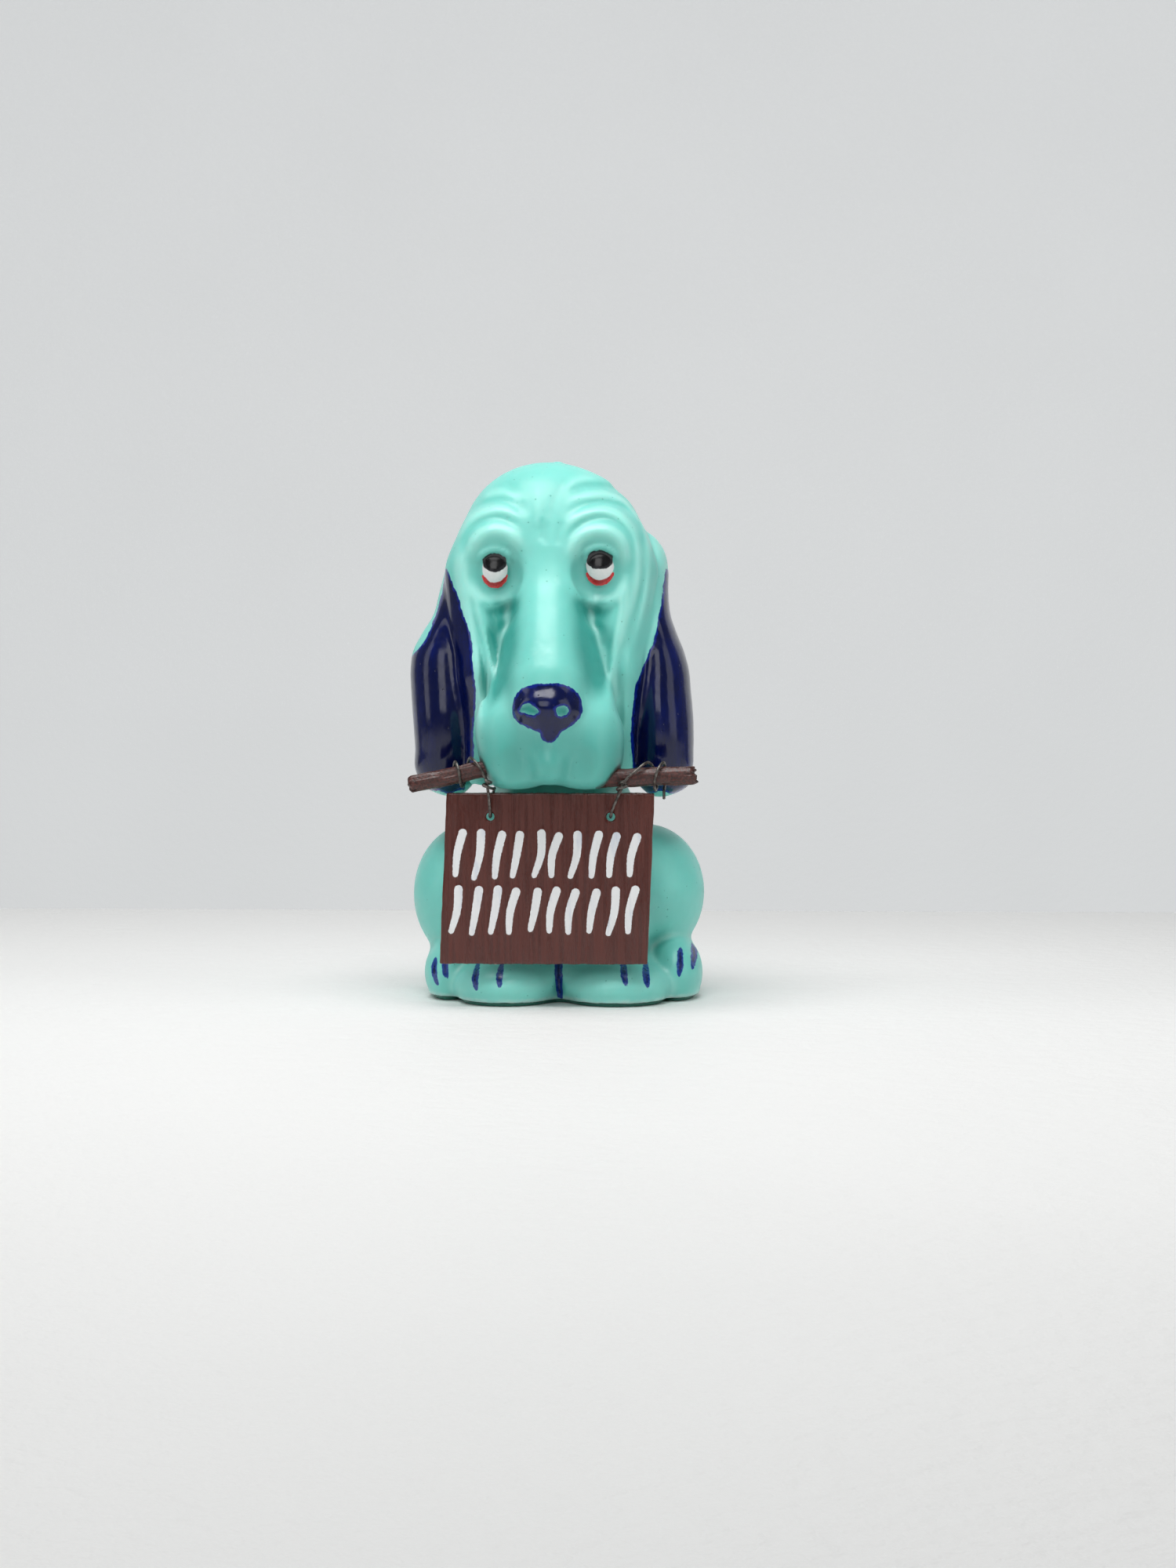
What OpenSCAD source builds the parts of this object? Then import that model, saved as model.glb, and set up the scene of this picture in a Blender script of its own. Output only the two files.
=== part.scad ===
// Seated hound figurine with a hanging sign.
// A hollow soft-vinyl body and head, pressed together at the neck, closed below by a base plate.
// Two short sticks are pressed into the corners of the mouth, and two wire hangers wound on the
// sticks carry a small wooden board.
// Frame: origin on the resting surface under the middle of the body, +Z up, the hound faces -Y.
// Left and right are those of a viewer who faces the hound: left is -X.

/* [Figure] */
// Height from the resting surface to the crown
figure_h = 150; // [140:1:160]
// Thickness of the vinyl wall
wall = 2.5; // [2:0.1:3]

/* [Body] */
// Width over the thighs
body_w = 82; // [78:1:88]
// Depth from the front paws to the rump
body_d = 75; // [72:1:80]
// Height of the flat top of the neck
neck_z = 62; // [60:0.5:64]
// Distance of the neck's axis behind the origin
neck_y = 4; // [2:0.5:6]
// Height of the body's lower rim above the resting surface
rim_z = 2; // [1.5:0.1:2.5]

/* [Neck joint] */
// Radius of the body's neck boss
boss_r = 11; // [9:0.5:12]
// Radius of the flange that keeps the head on
flange_r = 13; // [12.5:0.5:14]
// Radial clearance between boss and head
boss_gap = 0.08; // [0.05:0.01:0.1]
// Height of the gap between the body's neck and the head
seat_gap = 0.4; // [0.3:0.1:0.6]

/* [Head] */
// Width over the two ears
head_w = 78; // [74:1:80]
// Depth from the nose to the back of the skull
head_d = 83; // [80:1:86]
// Lowest point of the ears
ear_z = 56.5; // [55:0.5:58]
// Lowest point of the muzzle
muzzle_z = 60.6; // [60:0.2:61]

/* [Sticks] */
// Distance of the mouth corners in front of the origin
mouth_y = 36; // [35.5:0.1:36.5]
// Diameter of the left stick
left_stick_d = 5.2; // [4.8:0.1:5.4]
// Diameter of the right stick
right_stick_d = 5.6; // [5.2:0.1:5.8]
// Length of each stick
stick_l = 28; // [26:1:30]
// How deep each stick sits in the muzzle
stick_in = 6; // [4:0.5:7]

/* [Sign] */
// Width of the board
sign_w = 57; // [54:1:58]
// Height of the board
sign_h = 47; // [45:0.1:47]
// Thickness of the board
sign_t = 2.5; // [2:0.1:3]
// Sideways lean of the hand-cut board's sides
sign_lean = 1.9; // [0:0.1:3]
// Height of the board's top edge
sign_top = 58.9; // [58.6:0.1:59]
// Radius of the two wire holes
hole_r = 1.2; // [1.1:0.1:1.4]
// Distance between the two wire holes
hole_span = 32.8; // [32:0.2:33]
// Distance from the top edge down to the holes
hole_drop = 6.6; // [6.3:0.1:6.9]

/* [Wire] */
// Diameter of the hanger wire
wire_d = 0.8; // [0.7:0.05:0.8]

/* [Hidden] */

mint = [0.42, 0.86, 0.76];
ear_blue = [0.05, 0.08, 0.38];
bark_brown = [0.24, 0.11, 0.09];
sign_brown = [0.30, 0.13, 0.11];
wire_grey = [0.35, 0.34, 0.32];

fit_gap = 0.2;            // slack between the base plate's plug and the body's opening
base_inset = 1.2;         // how far the base plate stands back from the body's rim
plug_h = 2.4;             // height of the base plate's plug inside the body
floor_t = 3;              // thickness of the head's floor round the neck boss
flange_t = 2.4;           // thickness of the neck flange
flange_play = 0.3;        // gap between the head's floor and the flange
throat_r = 20;            // radius cleared under the head for the neck
head_shift = -0.6;        // the head sits a little to the left
body_shift = 0.9;         // and the body a little to the right
socket_gap = 0.05;        // slack of the sticks in their sockets
outer_sides = 32;         // sides of a bulge seen from outside
inner_sides = 16;         // sides of a bulge of the hollow inside
rim_sides = 48;           // points round one bulge's outline at the rim
wire_sides = 8;
wire_steps = 3;           // rings for each stretch between two route points

// Each bulge is an ellipsoid: [x, y, z of its centre, and its three half-widths].
function both(b) = [b, [-b[0], b[1], b[2], b[3], b[4], b[5]]];

body_bulges = concat(
    [[0, 5, 34, 26, 23, 38],                    // torso
     [0, 13, 17, 31, 23.5, 23],                 // rump
     [0, 2, 3, 31, 29, 9]],                     // seat, between the feet
    both([24, 4, 29, 17, 21, 22]),              // thighs
    both([31.5, -9, 7, 9.5, 16, 9]),            // hind feet
    both([10.5, -14, 24, 12, 14, 33]),          // forelegs and chest
    both([13.8, -24, 3, 14.2, 14.5, 8.6]));     // front paws

head_bulges = concat(
    [[0, 2, 118, 28, 26, 32],                   // skull
     [0, 2, 90, 26, 23, 42],                    // cheeks and throat
     [0, -16, 104, 9, 24, 22],                  // bridge of the snout
     [0, -25, 86, 15, 27, 15]],                 // snout
    both([13.5, -12, 127, 12.5, 12.5, 12]));    // brows

muzzle_bulges = concat(
    [[0, -45.5, 82.5, 9.2, 9.5, 7.8],           // nose
     [0, -36, 67, 9, 9, 7]],                    // chin
    both([8.5, -26, 73, 12, 20, 15]));          // jowls

// One ear from root to tip: [z, x of the middle, half-width, y of the middle, half-depth]
ear_sections = [
    [128, 26.5, 1.0, 3, 2.5], [122, 27.5, 3.6, 2, 8], [112, 28.0, 4.4, 1, 11],
    [104, 28.8, 6.2, -1, 13], [96, 29.8, 8.2, -3, 14], [86, 30.2, 9.0, -4, 14.5],
    [76, 30.2, 8.9, -5, 14.5], [67, 30.0, 8.3, -5.5, 13.5], [61, 29.8, 7.0, -6, 11],
    [58, 29.6, 4.8, -6, 7.5], [ear_z, 29.5, 1.0, -6, 2]];
ear_sides = 24;

module bulges(list, inset, sides) {
    for (b = list)
        translate([b[0], b[1], b[2]])
            scale([b[3] - inset, b[4] - inset, b[5] - inset]) sphere(r = 1, $fn = sides);
}

// Keeps what lies between two heights.
module between(low, high) {
    intersection() {
        children();
        translate([-100, -100, low]) cube([200, 200, high - low]);
    }
}

// The outlines of the body's bulges at the rim, drawn in by inset.
module footprint(inset) {
    for (b = body_bulges) {
        flat = 1 - pow((rim_z - b[2]) / (b[5] - inset), 2);
        if (flat > 0)
            polygon([for (j = [0:rim_sides - 1])
                let (a = 360 * j / rim_sides, r = sqrt(flat))
                [b[0] + (b[3] - inset) * r * cos(a), b[1] + (b[4] - inset) * r * sin(a)]]);
    }
}

// Brings what stands on the height low to its true overall size.
module sized(size, low) {
    translate([0, 0, low]) resize(size) translate([0, 0, -low]) children();
}

// The hollow skin of the body at its true overall size.
module body_hull() {
    sized([body_w, body_d, neck_z - rim_z], rim_z)
        difference() {
            between(rim_z, neck_z) bulges(body_bulges, 0, outer_sides);
            between(rim_z - 1, neck_z - wall) bulges(body_bulges, wall, inner_sides);
        }
}

module body_shell() {
    boss_top = neck_z + seat_gap + floor_t + flange_play;
    color(mint) difference() {
        union() {
            translate([body_shift, 0, 0]) body_hull();
            translate([0, neck_y, neck_z - wall]) cylinder(r = boss_r, h = boss_top - neck_z + wall);
            translate([0, neck_y, boss_top]) cylinder(r = flange_r, h = flange_t);
        }
        translate([0, neck_y, neck_z - 2 * wall]) cylinder(r = boss_r - wall, h = 20);
        translate([body_shift, 0, rim_z - 1]) linear_extrude(height = plug_h + 1) footprint(wall);
    }
}

module base_plate() {
    color(mint) translate([body_shift, 0, 0]) {
        linear_extrude(height = rim_z) footprint(base_inset);
        translate([0, 0, rim_z]) linear_extrude(height = plug_h) footprint(wall + fit_gap);
    }
}

function ear_ring(s) = [for (j = [0:ear_sides - 1])
    let (a = 360 * j / ear_sides) [s[1] + s[2] * cos(a), s[3] + s[4] * sin(a), s[0]]];

module ear() {
    n = len(ear_sections);
    last = (n - 1) * ear_sides;
    points = concat([for (s = ear_sections) each ear_ring(s)],
                    [[ear_sections[0][1], ear_sections[0][3], ear_sections[0][0]],
                     [ear_sections[n - 1][1], ear_sections[n - 1][3], ear_sections[n - 1][0]]]);
    faces = concat(
        [for (i = [0:n - 2]) for (j = [0:ear_sides - 1])
            let (k = (j + 1) % ear_sides, a = i * ear_sides) [a + j, a + k, a + ear_sides + k]],
        [for (i = [0:n - 2]) for (j = [0:ear_sides - 1])
            let (k = (j + 1) % ear_sides, a = i * ear_sides)
            [a + j, a + ear_sides + k, a + ear_sides + j]],
        [for (j = [0:ear_sides - 1]) [(j + 1) % ear_sides, j, n * ear_sides]],
        [for (j = [0:ear_sides - 1]) [last + j, last + (j + 1) % ear_sides, n * ear_sides + 1]]);
    polyhedron(points, faces);
}

// Skull, muzzle and ears at the true overall size, hollow but for the muzzle and the ears.
module head_hull() {
    sized([head_w, head_d, figure_h - ear_z], ear_z)
        difference() {
            union() {
                between(muzzle_z, figure_h) {
                    bulges(head_bulges, 0, outer_sides);
                    bulges(muzzle_bulges, 0, outer_sides);
                }
                color(ear_blue) ear();
                color(ear_blue) mirror([1, 0, 0]) ear();
            }
            between(muzzle_z - 1, figure_h) bulges(head_bulges, wall, inner_sides);
        }
}

module head_shell() {
    seat_z = neck_z + seat_gap;
    color(mint) difference() {
        union() {
            difference() {
                translate([head_shift, 0, 0]) head_hull();
                translate([0, neck_y, ear_z - 1]) cylinder(r = throat_r, h = seat_z - ear_z + 1);
            }
            translate([0, neck_y, seat_z]) cylinder(r = throat_r - wall, h = floor_t);
        }
        translate([0, neck_y, seat_z - 1]) cylinder(r = boss_r + boss_gap, h = floor_t + 2);
        stick_at(left_stick) cylinder(r = left_stick_d / 2 + socket_gap, h = stick_in + 3);
        stick_at(right_stick) cylinder(r = right_stick_d / 2 + socket_gap, h = stick_in + 3);
    }
}

// Each stick: [x and z of its inner end, its rise in degrees going outward, side]
left_stick = [-12, 66.5, -12, -1];
right_stick = [12.2, 62.7, 2, 1];

// Moves to a stick's inner end, with +Z along the stick and outward.
module stick_at(s) {
    translate([s[0], -mouth_y, s[1]]) rotate([0, s[3] * (90 - s[2]), 0]) children();
}

// A straight stick with both ends cut a little round.
module stick(s, d) {
    cut = 0.5;
    color(bark_brown) stick_at(s) {
        cylinder(r1 = d / 2 - cut, r2 = d / 2, h = cut);
        translate([0, 0, cut]) cylinder(r = d / 2, h = stick_l - 2 * cut);
        translate([0, 0, stick_l - cut]) cylinder(r1 = d / 2, r2 = d / 2 - cut, h = cut);
    }
}

module sign_board() {
    half = sign_w / 2;
    z_low = sign_top - sign_h;
    color(sign_brown) difference() {
        translate([0, sign_t / 2 - mouth_y, 0]) rotate([90, 0, 0]) linear_extrude(height = sign_t)
            polygon([[-half, sign_top], [half, sign_top],
                     [half - sign_lean, z_low], [-half - sign_lean, z_low]]);
        for (side = [-1, 1])
            translate([side * hole_span / 2, sign_t - mouth_y, sign_top - hole_drop])
                rotate([90, 0, 0]) cylinder(r = hole_r, h = 2 * sign_t);
    }
}

// A point on a turn of wire round a stick: the angle a is 0 in front and 90 on top.
function stick_z(s, x) = s[1] + (abs(x) - abs(s[0])) * tan(s[2]);
function turn(s, x, a, r) = [x, -mouth_y - r * cos(a), stick_z(s, x) + r * sin(a)];

left_hook = concat(
    [for (t = [[-26.6, 215, 3.5], [-26.6, 180, 3.5], [-26.5, 135, 3.6], [-26, 90, 3.7],
               [-25.2, 45, 3.5], [-24.6, 0, 3.4], [-24.3, -45, 3.4], [-24, -90, 3.5],
               [-23.6, -135, 3.5], [-23.2, -180, 3.5], [-22.7, -225, 3.6], [-21.9, -270, 3.9],
               [-20.4, -315, 3.8], [-18.9, -350, 3.6]])
        turn(left_stick, t[0], t[1], t[2])],
    [[-17.8, -39.8, 63.6], [-17.2, -39.8, 62.5], [-17, -39.7, 61.4], [-16.9, -39.6, 60.2],
     [-16.6, -39.2, 57.5], [-16.4, -38.7, 54.5], [-16.4, -38.1, 52.9], [-16.4, -37.2, 52.3],
     [-16.4, -34.8, 52.3], [-16.4, -33.9, 52.9], [-16.3, -33.3, 54.5], [-16.1, -32.9, 57.1],
     [-15.7, -33, 59], [-15.4, -34.4, 59.9], [-15.3, -36.5, 59.9], [-15.5, -38.3, 60],
     [-15.9, -39.5, 60.2], [-16.6, -40.6, 60.5], [-17.9, -40.3, 60.9], [-17.9, -39.1, 61.2],
     [-16.7, -38.7, 61.5], [-16, -39.6, 61.8], [-16.6, -40.8, 62.1], [-17.5, -40.9, 62.4]]);

right_hook = concat(
    [[30.9, -37.1, 57.3], [30.9, -36.8, 58.4]],
    [for (t = [[30.9, 275, 3.7], [31.1, 225, 3.6], [31.2, 180, 3.6], [31.1, 135, 3.7],
               [30.7, 90, 3.8], [29.6, 45, 3.7], [28.6, 0, 3.6], [28.3, -45, 3.6],
               [28.6, -90, 3.7], [28.9, -135, 3.6], [28.6, -180, 3.6], [27.8, -225, 3.7],
               [26.6, -270, 3.9], [25.2, -300, 3.9], [23.4, -330, 3.8], [21.7, -350, 3.8]])
        turn(right_stick, t[0], t[1], t[2])],
    [[20.6, -40, 62.5], [20, -40, 61.5], [19.5, -39.9, 60.4], [18.3, -39.5, 57.6],
     [17, -38.9, 54.6], [16.5, -38.1, 52.9], [16.4, -37.2, 52.3], [16.4, -34.8, 52.3],
     [16.5, -33.9, 52.9], [16.9, -33.2, 54.8], [17.6, -32.9, 57.1], [18.5, -33, 58.8],
     [18.9, -34.3, 59.5], [19, -36.3, 59.5], [18.7, -38.2, 59.6], [18.3, -39.2, 59.9],
     [18.5, -40.3, 60.2], [19.5, -40.9, 60.5], [20.7, -40.4, 60.8], [20.8, -39.2, 61.1],
     [19.6, -38.9, 61.4], [18.9, -39.8, 61.7], [19.5, -41, 62], [20.6, -41.2, 62.3]]);

// A smooth curve through the route's points.
function spline(p0, p1, p2, p3, t) =
    0.5 * (2 * p1 + (p2 - p0) * t + (2 * p0 - 5 * p1 + 4 * p2 - p3) * t * t
           + (3 * p1 - p0 - 3 * p2 + p3) * t * t * t);
function smooth_route(route) = concat(
    [for (i = [0:len(route) - 2]) for (k = [0:wire_steps - 1])
        spline(route[max(i - 1, 0)], route[i], route[i + 1], route[min(i + 2, len(route) - 1)],
               k / wire_steps)],
    [route[len(route) - 1]]);

function unit(v) = v / norm(v);
// A normal of each ring, carried along the curve with the least twist.
function carried(n, t) = unit(n - (n * t) * t);

// Round wire bent along a route.
module wire(route) {
    line = smooth_route(route);
    n = len(line);
    along = [for (i = [0:n - 1]) unit(line[min(i + 1, n - 1)] - line[max(i - 1, 0)])];
    side = [for (i = 0, s = carried([0.3, 0.2, 1], along[0]); i < n;
                 i = i + 1, s = carried(s, along[min(i, n - 1)])) s];
    points = concat(
        [for (i = [0:n - 1]) for (j = [0:wire_sides - 1])
            let (a = 360 * j / wire_sides)
            line[i] + wire_d / 2 * (cos(a) * side[i] + sin(a) * cross(along[i], side[i]))],
        [line[0], line[n - 1]]);
    faces = concat(
        [for (i = [0:n - 2]) for (j = [0:wire_sides - 1])
            let (k = (j + 1) % wire_sides, a = i * wire_sides)
            [a + j, a + wire_sides + j, a + wire_sides + k]],
        [for (i = [0:n - 2]) for (j = [0:wire_sides - 1])
            let (k = (j + 1) % wire_sides, a = i * wire_sides) [a + j, a + wire_sides + k, a + k]],
        [for (j = [0:wire_sides - 1]) [j, (j + 1) % wire_sides, n * wire_sides]],
        [for (j = [0:wire_sides - 1])
            [(n - 1) * wire_sides + (j + 1) % wire_sides, (n - 1) * wire_sides + j,
             n * wire_sides + 1]]);
    color(wire_grey) polyhedron(points, faces);
}

body_shell();
base_plate();
head_shell();
stick(left_stick, left_stick_d);
stick(right_stick, right_stick_d);
wire(left_hook);  // left_hanger
wire(right_hook);  // right_hanger
sign_board();
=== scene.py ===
"""Looks of the seated hound figurine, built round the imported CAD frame.

Shapes are modelled as signed distance fields in millimetres (negative inside), turned into quad
meshes, and placed in metres. The hound faces -Y, +X is the viewer's right, +Z is up.
"""
import math

import bpy
import numpy as np
from mathutils import Euler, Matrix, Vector


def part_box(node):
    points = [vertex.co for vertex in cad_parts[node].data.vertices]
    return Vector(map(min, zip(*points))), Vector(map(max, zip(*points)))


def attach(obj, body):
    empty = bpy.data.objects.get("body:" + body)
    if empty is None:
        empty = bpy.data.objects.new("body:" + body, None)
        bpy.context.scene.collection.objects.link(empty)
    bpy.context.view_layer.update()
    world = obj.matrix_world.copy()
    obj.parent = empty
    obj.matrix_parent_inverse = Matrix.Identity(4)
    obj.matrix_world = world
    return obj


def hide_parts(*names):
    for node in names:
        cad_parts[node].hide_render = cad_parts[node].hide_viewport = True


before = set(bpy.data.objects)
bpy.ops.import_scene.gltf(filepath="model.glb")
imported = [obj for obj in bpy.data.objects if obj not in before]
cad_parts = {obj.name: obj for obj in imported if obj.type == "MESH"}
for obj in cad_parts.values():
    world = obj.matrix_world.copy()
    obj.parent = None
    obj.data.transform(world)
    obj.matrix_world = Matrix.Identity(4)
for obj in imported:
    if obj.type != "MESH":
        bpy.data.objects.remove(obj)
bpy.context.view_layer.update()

MM = 0.001
SEED = 7
GRID_HEAD = 0.6         # grid steps in mm
GRID_BODY = 0.75
GRID_SIGN = 0.3
GRID_STICK = 0.22
NOISE_CELLS = 64        # side of the random table that value_noise repeats
FAR = 1e3               # a distance beyond the whole object, in mm
CORNERS = [(i, j, k) for i in (0, 1) for j in (0, 1) for k in (0, 1)]


# ---- fields ----

class Grid:
    """Sample points of a box, with sparse axes that broadcast against each other."""

    def __init__(self, low, high, step):
        self.step = step
        self.low = np.array(low, dtype=float)
        axes = [np.arange(a, b + step, step) for a, b in zip(low, high)]
        self.x, self.y, self.z = np.meshgrid(*axes, indexing="ij", sparse=True)
        self.x, self.y, self.z = (a.astype(np.float32) for a in (self.x, self.y, self.z))


def ellipsoid(g, centre, half):
    """Distance to an ellipsoid, near enough to exact close to its surface."""
    d = [(p - c) / h for p, c, h in zip((g.x, g.y, g.z), centre, half)]
    k0 = np.sqrt(d[0] ** 2 + d[1] ** 2 + d[2] ** 2) + 1e-4
    k1 = np.sqrt((d[0] / half[0]) ** 2 + (d[1] / half[1]) ** 2 + (d[2] / half[2]) ** 2) + 1e-5
    return k0 * (k0 - 1.0) / k1


def cone(g, a, b, ra, rb):
    """Distance to a rounded cone from a to b."""
    a, b = np.array(a, float), np.array(b, float)
    ab = b - a
    t = (g.x - a[0]) * ab[0] + (g.y - a[1]) * ab[1] + (g.z - a[2]) * ab[2]
    t = np.clip(t / (ab @ ab), 0, 1)
    away = ((g.x - a[0] - t * ab[0]) ** 2 + (g.y - a[1] - t * ab[1]) ** 2
            + (g.z - a[2] - t * ab[2]) ** 2)
    return np.sqrt(away) - (ra + (rb - ra) * t)


def join(a, b, k):
    """Smooth union with a fillet of about k."""
    h = np.clip(0.5 + 0.5 * (b - a) / k, 0, 1)
    return b + (a - b) * h - k * h * (1 - h)


def cut(a, b, k):
    """a without b, with a rounded edge of about k."""
    return -join(-a, b, k)


def bulge(f, g, centre, half, k):
    """f joined to an ellipsoid."""
    return join(f, ellipsoid(g, centre, half), k)


def limb(f, g, a, b, ra, rb, k):
    """f joined to a rounded cone."""
    return join(f, cone(g, a, b, ra, rb), k)


def step_up(v, low, high):
    """0 below low, 1 above high, smooth between."""
    t = np.clip((v - low) / (high - low), 0, 1)
    return t * t * (3 - 2 * t)


def smooth_through(v, at, values):
    """A smooth curve through (at, values), at in rising order."""
    at, values = np.array(at, float), np.array(values, float)
    slope = np.gradient(values, at)
    i = np.clip(np.searchsorted(at, v) - 1, 0, len(at) - 2)
    h = at[i + 1] - at[i]
    t = np.clip((v - at[i]) / h, 0, 1)
    return ((1 + 2 * t) * (1 - t) ** 2 * values[i] + t * (1 - t) ** 2 * h * slope[i]
            + t * t * (3 - 2 * t) * values[i + 1] + t * t * (t - 1) * h * slope[i + 1])


def spline_points(points, steps):
    """Catmull-Rom curve through points."""
    p = np.array(points, float)
    p = np.vstack([p[0], p, p[-1]])
    out = []
    for i in range(1, len(p) - 2):
        for t in np.arange(steps) / steps:
            out.append(0.5 * (2 * p[i] + (p[i + 1] - p[i - 1]) * t
                              + (2 * p[i - 1] - 5 * p[i] + 4 * p[i + 1] - p[i + 2]) * t * t
                              + (3 * p[i] - p[i - 1] - 3 * p[i + 1] + p[i + 2]) * t ** 3))
    out.append(p[-2])
    return np.array(out)


def stroke(u, v, points, steps=6):
    """(distance to a smooth stroke through points, how far along it from 0 to 1)."""
    line = spline_points(points, steps)
    best = np.full(np.broadcast(u, v).shape, FAR)
    along = np.zeros_like(best)
    n = len(line) - 1
    for i in range(n):
        a, d = line[i], line[i + 1] - line[i]
        t = np.clip(((u - a[0]) * d[0] + (v - a[1]) * d[1]) / max(d @ d, 1e-9), 0, 1)
        away = np.hypot(u - a[0] - t * d[0], v - a[1] - t * d[1])
        near = away < best
        best = np.where(near, away, best)
        along = np.where(near, (i + t) / n, along)
    return best, along


def relief(u, v, strokes):
    """Height of moulded ridges (positive) and grooves (negative), each fading at its ends."""
    h = 0.0
    for height, width, points in strokes:
        d, t = stroke(u, v, points)
        fade = step_up(t, 0, 0.25) * step_up(1 - t, 0, 0.25)
        h = h + height * np.exp(-(d / width) ** 2) * fade
    return h


def value_noise(u, v, scale, seed):
    """Smooth noise from -1 to 1 over two coordinates."""
    rng = np.random.default_rng(seed)
    table = rng.uniform(-1, 1, (NOISE_CELLS, NOISE_CELLS))
    u, v = np.asarray(u / scale, float), np.asarray(v / scale, float)
    iu, iv = np.floor(u).astype(int), np.floor(v).astype(int)
    fu, fv = u - iu, v - iv
    fu, fv = fu * fu * (3 - 2 * fu), fv * fv * (3 - 2 * fv)

    def at(a, b):
        return table[a % NOISE_CELLS, b % NOISE_CELLS]

    return ((at(iu, iv) * (1 - fu) + at(iu + 1, iv) * fu) * (1 - fv)
            + (at(iu, iv + 1) * (1 - fu) + at(iu + 1, iv + 1) * fu) * fv)


def inside_outline(u, v, points, steps=5):
    """Signed distance to a smooth closed outline through points, negative inside."""
    looped = points[-2:] + points + points[:2]
    line = spline_points(looped, steps)[2 * steps:-2 * steps - 1]
    best = np.full(np.broadcast(u, v).shape, FAR)
    inside = np.zeros(best.shape, bool)
    for a, b in zip(line, np.roll(line, -1, axis=0)):
        d = b - a
        t = np.clip(((u - a[0]) * d[0] + (v - a[1]) * d[1]) / (d @ d), 0, 1)
        best = np.minimum(best, np.hypot(u - a[0] - t * d[0], v - a[1] - t * d[1]))
        if a[1] != b[1]:
            crosses = ((v >= a[1]) != (v >= b[1])) & (u < a[0] + (v - a[1]) * d[0] / d[1])
            inside ^= crosses
    return np.where(inside, -best, best)


# ---- meshes ----

def net(f):
    """Quads of the surface where f is 0: (points in grid steps, faces)."""
    inside = f < 0
    count = np.zeros(tuple(n - 1 for n in f.shape), np.uint8)
    for i, j, k in CORNERS:
        count += inside[i:f.shape[0] - 1 + i, j:f.shape[1] - 1 + j, k:f.shape[2] - 1 + k]
    cells = np.argwhere((count > 0) & (count < 8))
    offsets = np.array(CORNERS)
    at = cells[:, None, :] + offsets[None]
    values = f[at[..., 0], at[..., 1], at[..., 2]]
    total = np.zeros((len(cells), 3))
    hits = np.zeros(len(cells))
    for a in range(8):
        for b in range(a + 1, 8):
            if np.abs(offsets[a] - offsets[b]).sum() != 1:
                continue
            va, vb = values[:, a], values[:, b]
            crossed = (va < 0) != (vb < 0)
            t = np.where(crossed, va / np.where(crossed, va - vb, 1.0), 0.0)
            hit = offsets[a] + t[:, None] * (offsets[b] - offsets[a])
            total += np.where(crossed[:, None], hit, 0.0)
            hits += crossed
    points = cells + total / hits[:, None]
    ids = np.full(count.shape, -1, np.int64)
    ids[tuple(cells.T)] = np.arange(len(cells))
    faces = []
    for axis in range(3):
        one, two = [d for d in range(3) if d != axis]
        lower = [slice(1, -1)] * 3
        lower[axis] = slice(0, -1)
        upper = list(lower)
        upper[axis] = slice(1, None)
        here, there = inside[tuple(lower)], inside[tuple(upper)]
        for flip in (False, True):
            edge = np.argwhere((here & ~there) if not flip else (~here & there))
            start = edge.copy()
            start[:, one] += 1
            start[:, two] += 1
            quad = []
            for da, db in ((-1, -1), (0, -1), (0, 0), (-1, 0)):
                c = start.copy()
                c[:, one] += da
                c[:, two] += db
                quad.append(ids[tuple(c.T)])
            quad = np.stack(quad, axis=1)
            faces.append(quad[:, ::-1] if flip != (axis == 1) else quad)
    return settle(points, f), np.vstack(faces)


def sample(f, points):
    """Trilinear value of f at points given in grid steps."""
    base = np.clip(np.floor(points).astype(int), 0, np.array(f.shape) - 2)
    t = points - base
    out = 0.0
    for i, j, k in CORNERS:
        w = np.abs(1 - i - t[:, 0]) * np.abs(1 - j - t[:, 1]) * np.abs(1 - k - t[:, 2])
        out = out + w * f[base[:, 0] + i, base[:, 1] + j, base[:, 2] + k]
    return out


def settle(points, f):
    """Moves points onto the surface, by at most half a step each time."""
    for _ in range(3):
        here = sample(f, points)
        slope = np.stack([sample(f, points + e) - sample(f, points - e)
                          for e in np.eye(3) * 0.5], axis=1)
        move = -here[:, None] * slope / np.maximum((slope ** 2).sum(1), 1e-6)[:, None]
        size = np.linalg.norm(move, axis=1)
        points = points + move * np.minimum(1.0, 0.5 / np.maximum(size, 1e-9))[:, None]
    return points


def mesh_object(name, points, faces, material, body, replaced):
    """A smooth-shaded piece from points in mm, riding on a body in place of CAD nodes."""
    me = bpy.data.meshes.new(name)
    me.from_pydata((points * MM).tolist(), [], faces)
    me.polygons.foreach_set("use_smooth", np.ones(len(me.polygons), bool))
    me.materials.append(material)
    me.update()
    obj = bpy.data.objects.new(name, me)
    bpy.context.scene.collection.objects.link(obj)
    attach(obj, body)
    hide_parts(*replaced)
    return obj


def store(obj, name, values):
    """Keeps one number per vertex for the material, in mm."""
    a = obj.data.attributes.new(name, "FLOAT", "POINT")
    a.data.foreach_set("value", np.asarray(values, np.float32))


def box_mm(node):
    """A CAD node's lowest and highest corners in mm."""
    return (np.array(corner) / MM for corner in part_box(node))


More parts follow.
